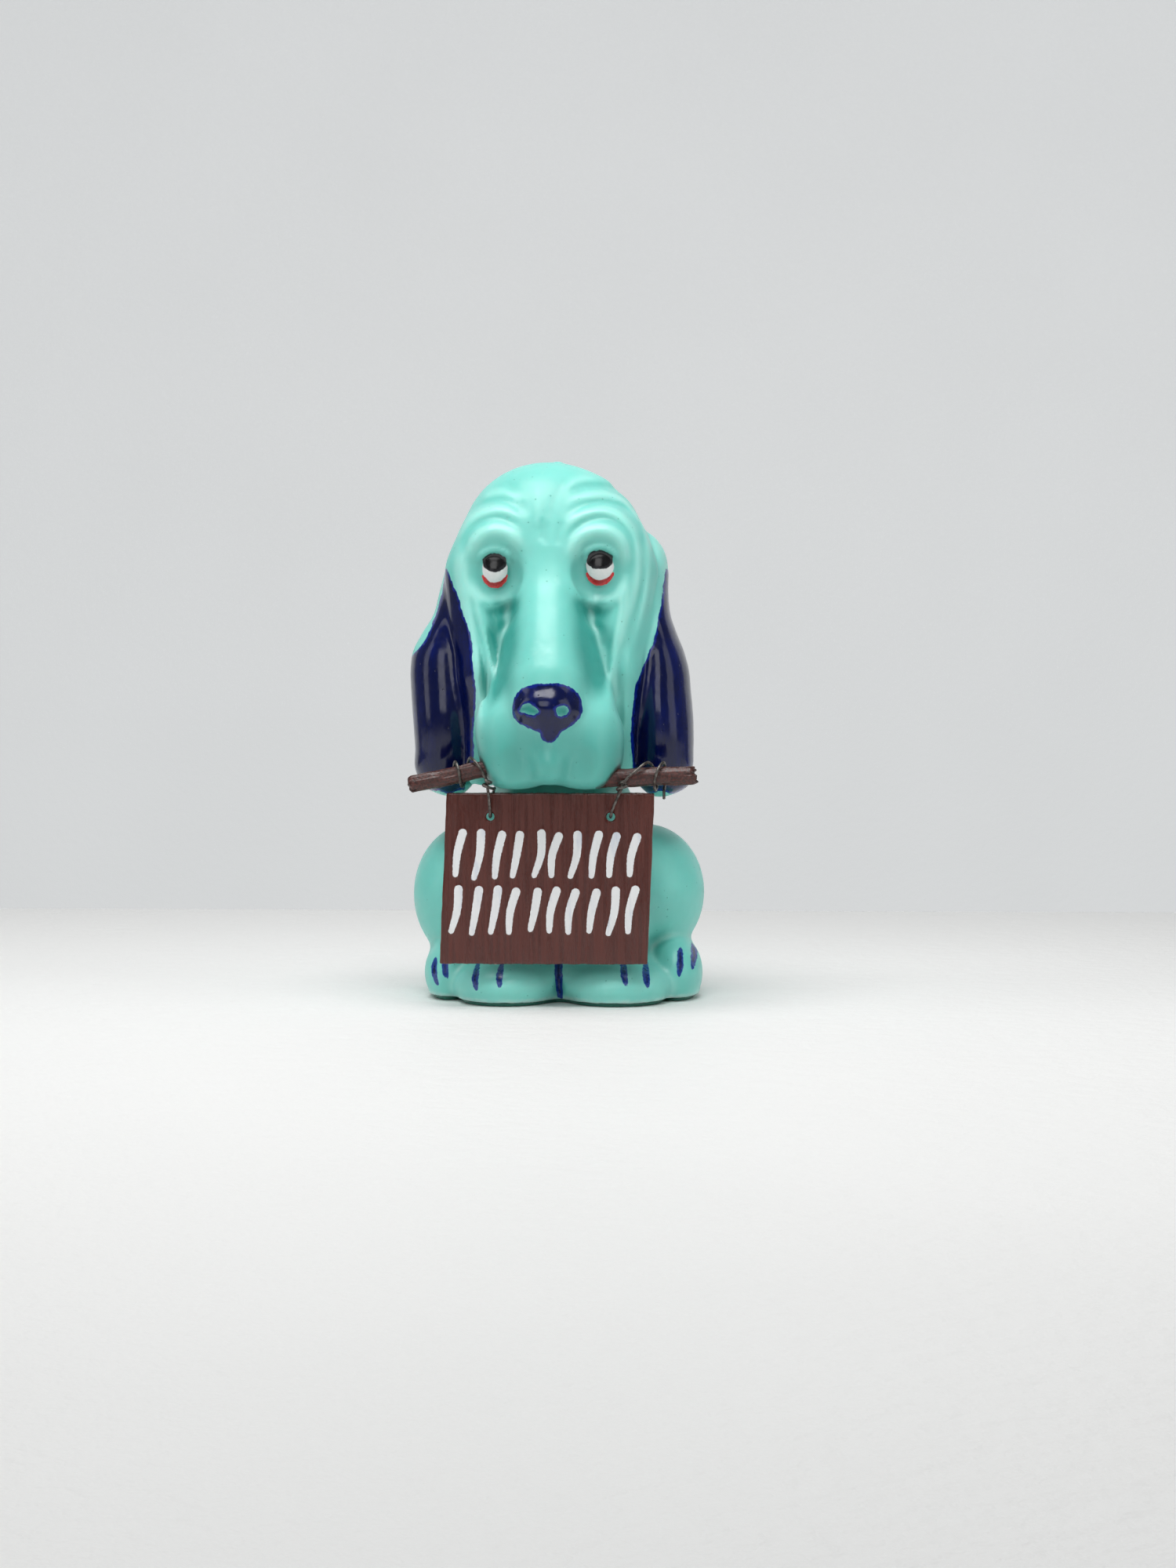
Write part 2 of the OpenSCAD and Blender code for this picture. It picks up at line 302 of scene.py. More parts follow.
def largest_part(points, faces):
    """Drops loose crumbs: keeps the faces joined to the biggest piece."""
    label = np.arange(len(points))
    while True:
        low = label[faces].min(axis=1)
        before = label.copy()
        for c in range(4):
            np.minimum.at(label, faces[:, c], low)
        label = label[label]
        if (label == before).all():
            break
    ids, counts = np.unique(label, return_counts=True)
    keep = label == ids[counts.argmax()]
    new = np.cumsum(keep) - 1
    return points[keep], new[faces[keep[faces[:, 0]]]].tolist()


def surface(f, grid):
    """The largest closed surface of a field: (points in mm, faces)."""
    points, faces = net(f)
    return largest_part(grid.low + points * grid.step, faces)


# ---- materials ----

class Nodes:
    """Short forms for building a material's nodes."""

    def __init__(self, name):
        self.material = bpy.data.materials.new(name)
        self.material.use_nodes = True
        self.tree = self.material.node_tree
        self.shader = self.tree.nodes["Principled BSDF"]
        self.coords = self.tree.nodes.new("ShaderNodeTexCoord").outputs["Object"]

    def new(self, kind, **inputs):
        n = self.tree.nodes.new(kind)
        for key, value in inputs.items():
            self.set(n.inputs[key.replace("_", " ")], value)
        return n

    def set(self, socket, value):
        if isinstance(value, bpy.types.NodeSocket):
            self.tree.links.new(value, socket)
        elif isinstance(value, (tuple, list)) and len(value) == 3 and socket.type == "RGBA":
            socket.default_value = (*value, 1.0)
        else:
            socket.default_value = value

    def scaled(self, scale, stretch=(1, 1, 1)):
        """Object coordinates times scale (per metre)."""
        n = self.new("ShaderNodeMapping", Vector=self.coords)
        n.inputs["Scale"].default_value = [scale * s for s in stretch]
        return n.outputs["Vector"]

    def noise(self, scale, detail=3.0, rough=0.5, stretch=(1, 1, 1)):
        n = self.new("ShaderNodeTexNoise", Vector=self.scaled(scale, stretch), Scale=1.0,
                     Detail=detail, Roughness=rough)
        return n.outputs["Fac"]

    def spots(self, scale, size):
        """1 inside scattered round spots, 0 outside."""
        n = self.new("ShaderNodeTexVoronoi", Vector=self.scaled(scale), Scale=1.0)
        return self.ramp(n.outputs["Distance"], size, size * 0.5)

    def ramp(self, value, low, high, to_low=0.0, to_high=1.0):
        """value eased from to_low at low to to_high at high."""
        n = self.new("ShaderNodeMapRange", Value=value, From_Min=low, From_Max=high,
                     To_Min=to_low, To_Max=to_high)
        n.interpolation_type = "SMOOTHSTEP"
        return n.outputs["Result"]

    def math(self, operation, a, b=0.0):
        n = self.new("ShaderNodeMath")
        n.operation = operation
        self.set(n.inputs[0], a)
        self.set(n.inputs[1], b)
        return n.outputs[0]

    def mix(self, fac, a, b):
        n = self.new("ShaderNodeMix")
        n.data_type = "RGBA"
        self.set(n.inputs[0], fac)
        self.set(n.inputs[6], a)
        self.set(n.inputs[7], b)
        return n.outputs[2]

    def mix_value(self, fac, a, b):
        n = self.new("ShaderNodeMix")
        self.set(n.inputs[0], fac)
        self.set(n.inputs[2], a)
        self.set(n.inputs[3], b)
        return n.outputs[0]

    def attribute(self, name):
        n = self.tree.nodes.new("ShaderNodeAttribute")
        n.attribute_name = name
        return n.outputs["Fac"]

    def bump(self, height, distance, strength, below=None):
        n = self.new("ShaderNodeBump", Height=height, Strength=strength, Distance=distance)
        if below is not None:
            self.set(n.inputs["Normal"], below)
        return n.outputs["Normal"]

    def finish(self, **inputs):
        for key, value in inputs.items():
            self.set(self.shader.inputs[key.replace("_", " ")], value)
        return self.material


MINT_LIGHT = (0.22, 0.70, 0.62)
# MINT_DEEP: the vinyl's cloudy darker tone, and also the painted shade of hollows, creases and the
# lower face
MINT_DEEP = (0.03, 0.33, 0.28)
# MINT_PALE: the vinyl's whitish streaks, and also the painted light on thin forms and fold crests
MINT_PALE = (0.50, 0.92, 0.84)
NAVY = (0.0006, 0.0035, 0.045)
NAVY_THIN = (0.0012, 0.009, 0.13)
# The closing disc's dark green is painted shade, for the shadowed band under the rim
BASE_SHADE_LIGHT = (0.02, 0.15, 0.11)
BASE_SHADE_DEEP = (0.01, 0.08, 0.06)
LINE_NAVY = (0.002, 0.008, 0.075)
LINE_NAVY_THIN = (0.006, 0.03, 0.17)
PIT = (0.03, 0.25, 0.2)
SCUFFED = (0.62, 0.86, 0.79)
STAIN = (0.055, 0.02, 0.015)
SCATTER_DEPTH = 0.003
SCATTER_RGB = (0.35, 1.0, 0.85)


def vinyl(name, paints=(), light=MINT_LIGHT, deep=MINT_DEEP):
    """Glossy translucent vinyl.

    paints: (attribute, colour, colour where thin, roughness, waviness of its edge in mm)
    """
    n = Nodes(name)
    cloud = n.ramp(n.noise(45, 4, 0.55), 0.3, 0.75, 0, 0.22)
    colour = n.mix(cloud, light, deep)
    # Painted shade: hollows, creases and the lower face are mixed towards the deep tone.
    colour = n.mix(n.ramp(n.attribute("hollow"), 0.1, 1), colour, deep)
    # Painted light: thin forms and fold crests are mixed towards the pale tone.
    colour = n.mix(n.ramp(n.attribute("ridge"), 0, 1, 0, 0.5), colour, MINT_PALE)
    streak = n.ramp(n.noise(150, 3, 0.6, (1, 1, 0.3)), 0.6, 0.8, 0, 0.2)
    colour = n.mix(streak, colour, MINT_PALE)
    pits = n.spots(330, 0.09)
    colour = n.mix(n.math("MULTIPLY", pits, 0.35), colour, PIT)
    colour = n.mix(n.attribute("wear"), colour, SCUFFED)
    stain = n.ramp(n.math("ADD", n.attribute("stain"), n.noise(900, 2)), 2.1, 0.5, 0, 0.8)
    colour = n.mix(stain, colour, STAIN)
    rough = n.ramp(n.noise(210, 4, 0.6), 0.3, 0.75, 0.34, 0.5)
    soft = 0.5
    wet = n.noise(500, 2, 0.5)
    ripple = n.math("SUBTRACT", n.math("ADD", wet, n.noise(1000, 1, 0.4, (1, 1, 0.5))), 1)
    for attribute, full, thin, paint_rough, wobble in paints:
        edge = n.math("ADD", n.attribute(attribute), n.math("MULTIPLY", ripple, wobble))
        mask = n.ramp(edge, 0.12, -0.12)
        streaks = n.ramp(n.noise(180, 3, 0.55, (1, 1, 0.3)), 0.4, 0.8, 0, 0.7)
        layer = n.mix(streaks, full, thin)
        rim = n.ramp(n.math("ADD", edge, n.math("MULTIPLY", wet, 0.8)), -0.5, 0.1, 0, 0.7)
        layer = n.mix(rim, layer, [min(2.2 * c, 0.8) for c in thin])
        colour = n.mix(mask, colour, layer)
        rough = n.mix_value(mask, rough, n.ramp(wet, 0.3, 0.7, paint_rough, paint_rough + 0.12))
        soft = n.mix_value(mask, soft, 0.0)
    peel = n.bump(n.noise(520, 2, 0.5), 0.00006, 0.35)
    dents = n.bump(n.math("MULTIPLY", pits, -1.0), 0.0002, 0.8, peel)
    return n.finish(Base_Color=colour, Roughness=rough, Normal=dents, Subsurface_Weight=soft,
                    Subsurface_Radius=SCATTER_RGB, Subsurface_Scale=SCATTER_DEPTH,
                    Coat_Weight=0.12, Coat_Roughness=0.2, IOR=1.45)


def store_vinyl(obj, **values):
    """The masks that every vinyl material reads, 0 or far away where none is given."""
    count = len(obj.data.vertices)
    # The first two masks are painted shade and painted light; wear and stain are real.
    for name, blank in (("hollow", 0.0), ("ridge", 0.0), ("wear", 0.0), ("stain", FAR)):
        store(obj, name, values.pop(name, np.full(count, blank)))
    for name, value in values.items():
        store(obj, name, value)


# ---- head ----

HEAD_X = -1.0          # middle of the face

# Outer and inner outlines of the ears seen from the front: (height, distance from x = 0)
EAR_Z = (56.0, 58.5, 63, 70, 78, 86, 92, 97, 102, 107, 113, 120, 126, 130)
EAR_LEFT_OUT = (31.3, 36.6, 39.3, 39.6, 40.2, 40.8, 41, 40.3, 37.8, 34.8, 33.2, 31.4, 29.6, 26.5)
EAR_RIGHT_OUT = (31.5, 36.4, 38.3, 38.8, 38.7, 38, 37.4, 36, 34, 32.3, 31.6, 31.5, 30, 27)
EAR_IN = (27, 24.2, 22.0, 21.0, 20.6, 20.6, 21.2, 22.0, 23.0, 23.6, 24.2, 25, 25, 25)
EAR_Y = (-6, -6, -6, -5.5, -5, -4, -3.4, -3, -2, -1, 0, 1, 2, 2)
EAR_DEPTH = (3, 7.5, 11, 13.5, 14.5, 14.5, 14.2, 13.6, 12.5, 11.5, 10.5, 8.5, 6.5, 4)


def ear_field(g, side, out):
    """One ear as a stack of ellipses that follows the tables."""
    z = g.z[0, 0, :]
    rows = [smooth_through(z, EAR_Z, t) for t in (out, EAR_IN, EAR_Y, EAR_DEPTH)]
    outer, inner, mid_y, depth = (r[None, None, :].astype(np.float32) for r in rows)
    mid_x, half = side * (outer + inner) / 2, np.maximum((outer - inner) / 2, 0.3)
    dx, dy = (g.x - mid_x) / half, (g.y - mid_y) / np.maximum(depth, 0.3)
    k0 = np.sqrt(dx ** 2 + dy ** 2) + 1e-4
    k1 = np.sqrt((dx / half) ** 2 + (dy / np.maximum(depth, 0.3)) ** 2) + 1e-5
    wall = k0 * (k0 - 1.0) / k1
    ends = np.maximum(EAR_Z[0] + 0.2 - g.z, g.z - EAR_Z[-1])
    return -join(-wall, -ends, 1.6)


# Moulded folds of the face, seen from the front: (height, width, [(x, z), ...])
FOLDS_LEFT = [
    (0.9, 1.8, [(-23, 121.5), (-22.6, 126), (-20, 129.4), (-16.4, 130.6), (-12.6, 129.9),
        (-9.8, 127.2), (-9.2, 124)]),
    (-0.5, 1.2, [(-25, 122.5), (-24.7, 128), (-21.6, 132.2), (-16.4, 133.9), (-12, 132.9),
        (-8.6, 129.6)]),
    (0.72, 1.6, [(-26.4, 124), (-25.8, 129.6), (-22.4, 134.4), (-17, 136.5), (-12.4, 135.8),
        (-8.8, 133)]),
    (-0.37, 1.1, [(-25, 134.5), (-21.4, 137.2), (-16.4, 138.8), (-12, 138), (-8.4, 135.5)]),
    (0.54, 1.5, [(-21.6, 139.2), (-16.4, 141.3), (-11.8, 140.9), (-8.4, 138)]),
    (-0.37, 1.5, [(-13.6, 145.5), (-11.8, 142.2), (-9.2, 138.3), (-8.2, 134)]),
    (1.1, 2.1, [(-25.8, 128), (-26, 122), (-24.6, 113), (-22.6, 103), (-20.6, 91.5), (-19.3, 78),
        (-19, 66)]),
    (-0.62, 1.6, [(-24.4, 121), (-23, 112), (-20.6, 102), (-18.6, 92.5), (-18, 82), (-18.4, 70)]),
    (0.81, 1.6, [(-22.9, 116.5), (-20.4, 107.5), (-18, 99), (-16.6, 91.5), (-16.8, 82)]),
    (-0.56, 1.5, [(-19.6, 109), (-16.6, 101), (-14.8, 93.5), (-15.2, 86), (-17, 77)]),
    (-1.2, 5, [(-10.6, 117), (-13, 108.7), (-12.8, 99), (-14.4, 90.5), (-16.5, 82)]),
    (0.72, 1.7, [(-23.5, 118.5), (-21.5, 113.4), (-17.1, 111.2), (-12.5, 112.2), (-8.6, 117)]),
    (-0.37, 1.6, [(-22.5, 112.5), (-17.5, 107.8), (-12.5, 108.6), (-8.8, 112.5)]),
    (-0.45, 3.4, [(-5.5, 76), (-7.4, 69), (-8.4, 64.5), (-10, 57.5)]),
]
FOLDS_RIGHT = [
    (0.9, 1.8, [(6.2, 120.5), (5.5, 125.2), (7.3, 128.6), (11.1, 130.4), (15.4, 130.2),
        (18.9, 127.5), (20, 123), (19.2, 118.6)]),
    (-0.5, 1.2, [(4, 124), (4.7, 128.8), (8.2, 132.4), (13.2, 133.8), (17.6, 132.6), (20.9, 129),
        (22, 123), (21.2, 115)]),
    (0.81, 1.5, [(2.9, 126.5), (4.3, 131.7), (8.5, 135.1), (14, 136.2), (18.8, 134.4),
        (22.4, 129.8), (23.6, 123.3), (23.2, 116), (21.2, 107), (19, 99)]),
    (-0.5, 1.1, [(2.4, 131.6), (4.8, 135.4), (9.6, 137.8), (14.7, 138.4), (19.8, 136.3),
        (23.8, 131.2), (25, 123.3), (24.5, 114.6), (22.4, 105), (20, 96)]),
    (0.81, 1.4, [(1.9, 135.4), (5, 139.2), (10.8, 140.6), (15.9, 140.3), (20.8, 138), (25.1, 131.4),
        (26.3, 123.3), (25.8, 113.9), (23.8, 103.5), (21.2, 94.5)]),
    (-0.43, 1.1, [(1.6, 139.2), (5.8, 142), (11.5, 143.2), (17.4, 142.2), (21.8, 139.6),
        (26.4, 131.2), (27.8, 122.5), (27.3, 113), (25, 102.5), (22.2, 92)]),
    (0.54, 1.5, [(1.6, 142.2), (7.2, 145), (13, 145.2), (17.6, 144)]),
    (-0.36, 1.4, [(4.2, 147), (2.3, 144.2), (0.3, 140.4), (-0.7, 136.2), (-0.9, 131.5)]),
    (0.3, 1.4, [(-4.2, 143.5), (-4.6, 139), (-4.4, 134.5), (-4, 130.5)]),
    (-0.26, 0.8, [(-3, 134), (-3.2, 131), (-3.4, 127)]),
    (-0.26, 0.8, [(-1.6, 133), (-1.9, 130), (-2, 126)]),
    (-0.28, 0.8, [(2.4, 133), (1.6, 130), (1.2, 126)]),
    (0.81, 1.6, [(19.9, 119), (19.2, 108.5), (17.6, 98.5), (16.6, 90), (17, 81)]),
    (-0.5, 1.5, [(19.4, 101), (18.2, 93), (18.6, 84), (19.2, 73)]),
    (-1.2, 5, [(8.4, 117), (10, 108.7), (10.8, 99), (12.8, 90.5), (15, 82)]),
    (0.72, 1.7, [(5.4, 117), (9, 112.2), (13.5, 111), (18, 113), (20.8, 119)]),
    (-0.37, 1.6, [(5.6, 112.5), (9.5, 108.6), (14, 107.6), (19, 111.5)]),
    (-0.45, 3.4, [(5.5, 76), (7.6, 69), (8.8, 64.5), (10.5, 57.5)]),
]

EYE_LEFT = (-16.2, 119.3)      # (x, z)
EYE_RIGHT = (12.9, 120)
EYE_HALF = (4.7, 3.2, 5.6)
EYELID = ((-5, 1.8), (-3.4, 4.6), (0, 5.8), (3.4, 4.6), (5, 1.8))

NOSE_OUTLINE = [(-6.6, 87.4), (-2.4, 88.3), (3.1, 88.4), (6.6, 86.9), (8.3, 84.4), (8.5, 80.9),
                (6.6, 78.1), (3.3, 76), (2, 74.2), (0.3, 73.2), (-1.5, 74.3), (-2, 75.8),
                (-6.6, 77.7), (-9, 79.7), (-9.5, 83), (-8.4, 85.8)]
NOSTRIL_LEFT = [(-7.6, 81.4), (-6.6, 83), (-4.6, 83.4), (-2.8, 81.8), (-2.6, 80.8), (-5, 80.4)]
NOSTRIL_RIGHT = [(2.1, 81.8), (3.2, 82.8), (4.9, 82.6), (5.4, 81.2), (4.2, 80.2), (2.6, 80.5)]
CROWN_NUB = (0.4, 2.0)
NECK = (0.0, 4.0)
THROAT_R = 20.0                # the hollow that the neck comes up into, and its top
SEAT_Z = 62.4
MUZZLE_Z = 59.5                # underside of the muzzle; only the ears hang lower
MUZZLE_PAINTED_SHADE = 0.58            # painted shade: how much darker the lower face is painted


def front_of(f, g, x, z):
    """Where a ray along +Y first meets the field at (x, z)."""
    i = int(round((x - g.low[0]) / g.step))
    k = int(round((z - g.low[2]) / g.step))
    column = f[i, :, k]
    j = int(np.argmax(column < 0))
    t = column[j - 1] / (column[j - 1] - column[j])
    return g.low[1] + (j - 1 + t) * g.step


def face_forms(g):
    """Skull, brows, cheeks, snout, jowls, chin and nose, before the folds."""
    hx = HEAD_X
    skull = bulge(ellipsoid(g, (hx, 3, 120.5), (27.3, 25, 29.3)), g,
                  (hx - 4, 3, 130), (20, 19, 18.6), 4)
    f = bulge(skull, g, (hx, 4, 94), (24, 20, 38), 10)
    for side, wide in ((-1, 11.6), (1, 12.2)):
        f = bulge(f, g, (hx + side * 14.2, -9.5, 126.5), (wide, 12, 10.5), 6)
    for side in (-1, 1):
        cheek = (hx + side * 16, -18.5, 91)
        f = limb(f, g, (hx + side * 19, -10.5, 120), cheek, 9, 8, 5)
        f = limb(f, g, cheek, (hx + side * 17.5, -15.5, 64), 8, 6, 3)
        f = limb(f, g, (hx + side * 20.5, -9, 117), (hx + side * 21.5, -10, 84), 8, 7, 6)
    f = limb(f, g, (hx, -14, 118), (hx + 0.3, -37, 87), 9.4, 11.8, 7)
    for side in (-1, 1):
        jowl = (hx + 0.6 + side * 9.2, -32.5, 77)
        f = limb(f, g, (hx + 0.2 + side * 6.5, -25, 99), jowl, 6.5, 10.6, 4)
        f = bulge(f, g, (hx + 1 + side * 9.6, -31, 70), (10.2, 14.5, 13), 3.2)
    f = bulge(f, g, (hx + 1.2, -38.8, 68.5), (8.5, 9.2, 7.5), 4)
    f = bulge(f, g, (hx + 1, -43, 67.4), (5.2, 6.6, 5), 3)
    for side in (-1, 1):
        dimple = ellipsoid(g, (hx + 1.2 + side * 8.8, -47.4, 65.5), (3.4, 3, 5))
        f = cut(f, dimple, 3.5)
    f = bulge(f, g, (hx + 1, -36.8, 76.5), (10.5, 11.8, 10), 4)
    f = bulge(f, g, (hx + 0.4, -43.4, 82.2), (9.2, 8.6, 6.6), 2.2)
    return limb(f, g, (hx + 1.2, -46.4, 77.5), (hx + 1.3, -46.8, 73.8), 3, 1.7, 2.2)


def add_eyes(f, g):
    """A socket, an eyeball and an upper lid on each side."""
    for cx, cz in (EYE_LEFT, EYE_RIGHT):
        front = front_of(f, g, cx, cz)
        f = cut(f, ellipsoid(g, (cx, front - 2.1, cz - 0.8), (6.8, 4.4, 7.6)), 3.4)
        front = front_of(f, g, cx, cz)
        f = bulge(f, g, (cx, front + 1.2, cz), EYE_HALF, 0.5)
        lid = [(cx + dx, cz + dz) for dx, dz in EYELID]
        lids = relief(g.x[:, 0, :], g.z[0, :, :], [(0.9, 0.9, lid)])
        f = f - (lids[:, None, :] * step_up(-g.y, 0, 6)).astype(np.float32)
    return f


def nostrils(x, z):
    """Distance in mm to the edge of the nearer nostril, negative inside."""
    return np.minimum(inside_outline(x, z, NOSTRIL_LEFT), inside_outline(x, z, NOSTRIL_RIGHT))


def head_field(g):
    f = face_forms(g)
    x, z = g.x[:, 0, :], g.z[0, :, :]
    folds = relief(x, z, FOLDS_LEFT) + relief(x, z, FOLDS_RIGHT)
    sides = step_up(np.abs(x - HEAD_X), 20, 26) * step_up(z, 112, 122)
    folds = folds * (0.95 - 0.2 * step_up(z, 134, 142)) * (1 - 0.6 * sides)
    f = f - (folds[:, None, :] * step_up(-g.y, -12, 2)).astype(np.float32)
    f = add_eyes(f, g)
    pit = 0.8 * step_up(-nostrils(x, z), -0.5, 1)
    f = f + (pit[:, None, :] * step_up(-g.y, 40, 46)).astype(np.float32)

    f = join(f, ear_field(g, -1, EAR_LEFT_OUT), 2.2)
    f = join(f, ear_field(g, 1, EAR_RIGHT_OUT), 2.2)
    f = bulge(f, g, (*CROWN_NUB, 149.4), (1.3, 1.3, 1), 0.8)
    ear_zone = step_up(np.abs(g.x - HEAD_X), 20.5, 22.5)
    below = (MUZZLE_Z - g.z) - FAR * (ear_zone > 0.5)
    f = cut(f, -below, 3.0)
    neck = np.maximum(np.hypot(g.x - NECK[0], g.y - NECK[1]) - THROAT_R, g.z - SEAT_Z)
    return cut(f, neck, 0.8)


# Edges of the ears' paint, seen from the front, from the top down: (x, z)
EAR_PAINT_LEFT = [(-30.6, 120), (-28.6, 115.1), (-27, 112), (-25.6, 107.2), (-24.2, 104.2),
                  (-23.3, 101), (-22.8, 95), (-22.2, 90), (-21.8, 85), (-22.2, 80), (-22.9, 73.2),
                  (-22.7, 68), (-24.2, 63), (-26, 59.5)]
EAR_PAINT_RIGHT = [(31.6, 120), (30.4, 110), (29.9, 107), (29, 102), (27.3, 96.8), (25.1, 91.5),
                   (23.4, 86.3), (22.7, 81), (22.3, 75), (22.6, 68), (23.4, 63), (25, 59.5)]
# Beyond this line the left ear's outer edge is bare
EAR_RIM_LEFT = [(-31.2, 122), (-31.2, 119), (-32.2, 112), (-33.2, 108.5), (-35, 103), (-37, 99),
                (-45, 92)]


def edge_at(z, line):
    """How far from x = 0 a line of (x, z) points, given from the top down, is at heights z."""
    rising = line[::-1]
    return smooth_through(z, [b for _, b in rising], [abs(a) for a, _ in rising])


def ear_paint(x, y, z):
    """Distance in mm to the edge of the ears' paint, negative inside."""
    ears = np.full(len(x), FAR)
    for side, line in ((-1, EAR_PAINT_LEFT), (1, EAR_PAINT_RIGHT)):
        behind = np.clip((y + 2) / 10, 0, 1) * 2.5
        d = edge_at(z, line) - 0.8 + behind - side * x
        tip = 57.6 + 0.5 * np.sin(x * 0.9) - z
        d = np.maximum(np.maximum(d, tip), z - line[0][1])
        if side < 0:
            strip = -x - edge_at(z, EAR_RIM_LEFT) - np.clip((y - 1) * 1.5, 0, 20)
            d = np.where(z > EAR_RIM_LEFT[-1][1], np.maximum(d, strip), d)
        ears = np.minimum(ears, d)
    return ears


def head_paint(p):
    """Distances in mm to the edges of the head's painted areas, negative inside."""
    x, y, z = p.T
    nose = inside_outline(x, z, NOSE_OUTLINE) - 0.35 + np.where(y < -36.0, 0.0, FAR)
    navy = np.minimum(ear_paint(x, y, z), np.maximum(nose, -nostrils(x, z)))
    pupil, white, red = (np.full(len(p), FAR) for _ in range(3))
    front = np.where(y < -10.0, 0.0, FAR)
    for (cx, cz), wide in ((EYE_LEFT, 3.5), (EYE_RIGHT, 3.8)):
        u, v = x - cx, z - cz

        def oval(a, b, rise):
            return (np.hypot(u / a, (v - rise) / b) - 1.0) * min(a, b) + front

        pupil = np.minimum(pupil, oval(wide - 0.1, 2.6, 2.3))
        white = np.minimum(white, oval(wide, 3.9, 0.7))
        red = np.minimum(red, np.maximum(oval(wide + 0.2, 4.2, -0.6), v + 1.1))
    return navy, pupil, white, red


def paint_of_eyes():
    """The eyes' paints, in the form that vinyl takes, the lowest first."""
    black = ("pupil", (0.006, 0.006, 0.007), (0.015, 0.015, 0.017), 0.12, 0.5)
    white = ("white", (0.80, 0.81, 0.80), (0.86, 0.87, 0.86), 0.22, 0.4)
    red = ("red", (0.42, 0.012, 0.014), (0.5, 0.02, 0.02), 0.2, 0.5)
    return red, white, black


def off_surface(f, g, points, reach):
    """The field a given way off the surface, outside where reach is positive."""
    steps = (points - g.low) / g.step
    e = np.eye(3) * 0.5
    slope = np.stack([sample(f, steps + d) - sample(f, steps - d) for d in e], axis=1)
    slope /= np.maximum(np.linalg.norm(slope, axis=1), 1e-6)[:, None]
    return sample(f, steps + slope * reach / g.step)


def hollows(f, g, points, reach):
    """0 to 1: how enclosed each point is."""
    return np.clip((reach - off_surface(f, g, points, reach)) / reach, 0, 1)


def ridges(f, g, points, reach):
    """0 to 1: how thin the form is under each point."""
    return np.clip((reach + off_surface(f, g, points, -reach)) / reach, 0, 1)


def build_head():
    low, high = box_mm("head_shell")
    g = Grid(low - 3, high + 3, GRID_HEAD)
    f = head_field(g)
    points, faces = surface(f, g)
    x, y, z = points.T
    navy, pupil, white, red = head_paint(points)
    stain = np.full(len(points), FAR)
    for stick in (STICK_LEFT, STICK_RIGHT):
        local = stick_frame(stick, points)
        away = np.hypot(local[:, 0], local[:, 1]) - stick["radius"]
        stain = np.minimum(stain, np.where(local[:, 2] > 0, away, FAR))
    # Painted shade: the nostrils are painted in the deep tone.
    deep = np.where(y < -36, step_up(-nostrils(x, z), -0.4, 0.2), 0)
    # Painted shade: the front of the face is painted darker towards the bottom.
    lower_face_shade = MUZZLE_PAINTED_SHADE * step_up(-z, -90, -70) * step_up(-y, 12, 24)
    # Painted shade in the hollows and the fold creases; painted light on thin forms and the fold
    # crests, less of it on the lower face.
    folds = relief(x, z, FOLDS_LEFT + FOLDS_RIGHT) * step_up(-y, 0, 8)
    hollow = np.maximum(step_up(hollows(f, g, points, 6), 0.1, 0.75),
                        np.clip(-folds, 0, 1) * 0.8)
    hollow = np.maximum(np.maximum(hollow, lower_face_shade), deep)
    ridge = ridges(f, g, points, 5) * (1 - lower_face_shade) + np.clip(folds, 0, 1)
    material = vinyl("vinyl_head", (("navy", NAVY, NAVY_THIN, 0.1, 0.65),) + paint_of_eyes())
    obj = mesh_object("head", points, faces, material, "head", ["head_shell"])
    store_vinyl(obj, hollow=hollow, ridge=ridge, stain=stain,
                navy=navy, pupil=pupil, white=white, red=red)


# ---- body ----

PAW_LEFT = ((-13, -21.5, 4.5), (14.3, 15, 7.6))
PAW_RIGHT = ((17.4, -21.5, 4.5), (15.1, 15, 7.6))
# Painted lines in the grooves of the paws, from the top down: (x, z)
TOE_LINES = [[(-32.9, 11.5), (-33.2, 8), (-32.2, 4.5)], [(-29.6, 13.5), (-30, 9), (-29.4, 6.5)],
             [(-20.6, 10.8), (-20.9, 7.4), (-20.4, 4.6)], [(-13.8, 11), (-14.1, 8), (-13.9, 5.6)],
             [(19.6, 11.8), (20, 8.8), (20.7, 6.2)], [(25.6, 11), (26, 8), (26.6, 5.4)],
             [(35.2, 14.5), (35.2, 10.5), (35, 7.5)], [(38.8, 15.6), (39.1, 12.6), (38.6, 9)]]
CENTRE_LINE = [(1.2, 16), (1.6, 10), (1.9, 5), (2.2, 2)]
TOE_LINE_HALF = 0.95
NECK_Z = 62.0
RIM_LOW = 1.0           # the trimmed rim's own height
BASE_TOP = 2.0          # the closing disc: its top, how far it stands back, its grid in z
BASE_BACK = 1.9
BASE_STEP = 0.25
BASE_LOW = -1.5


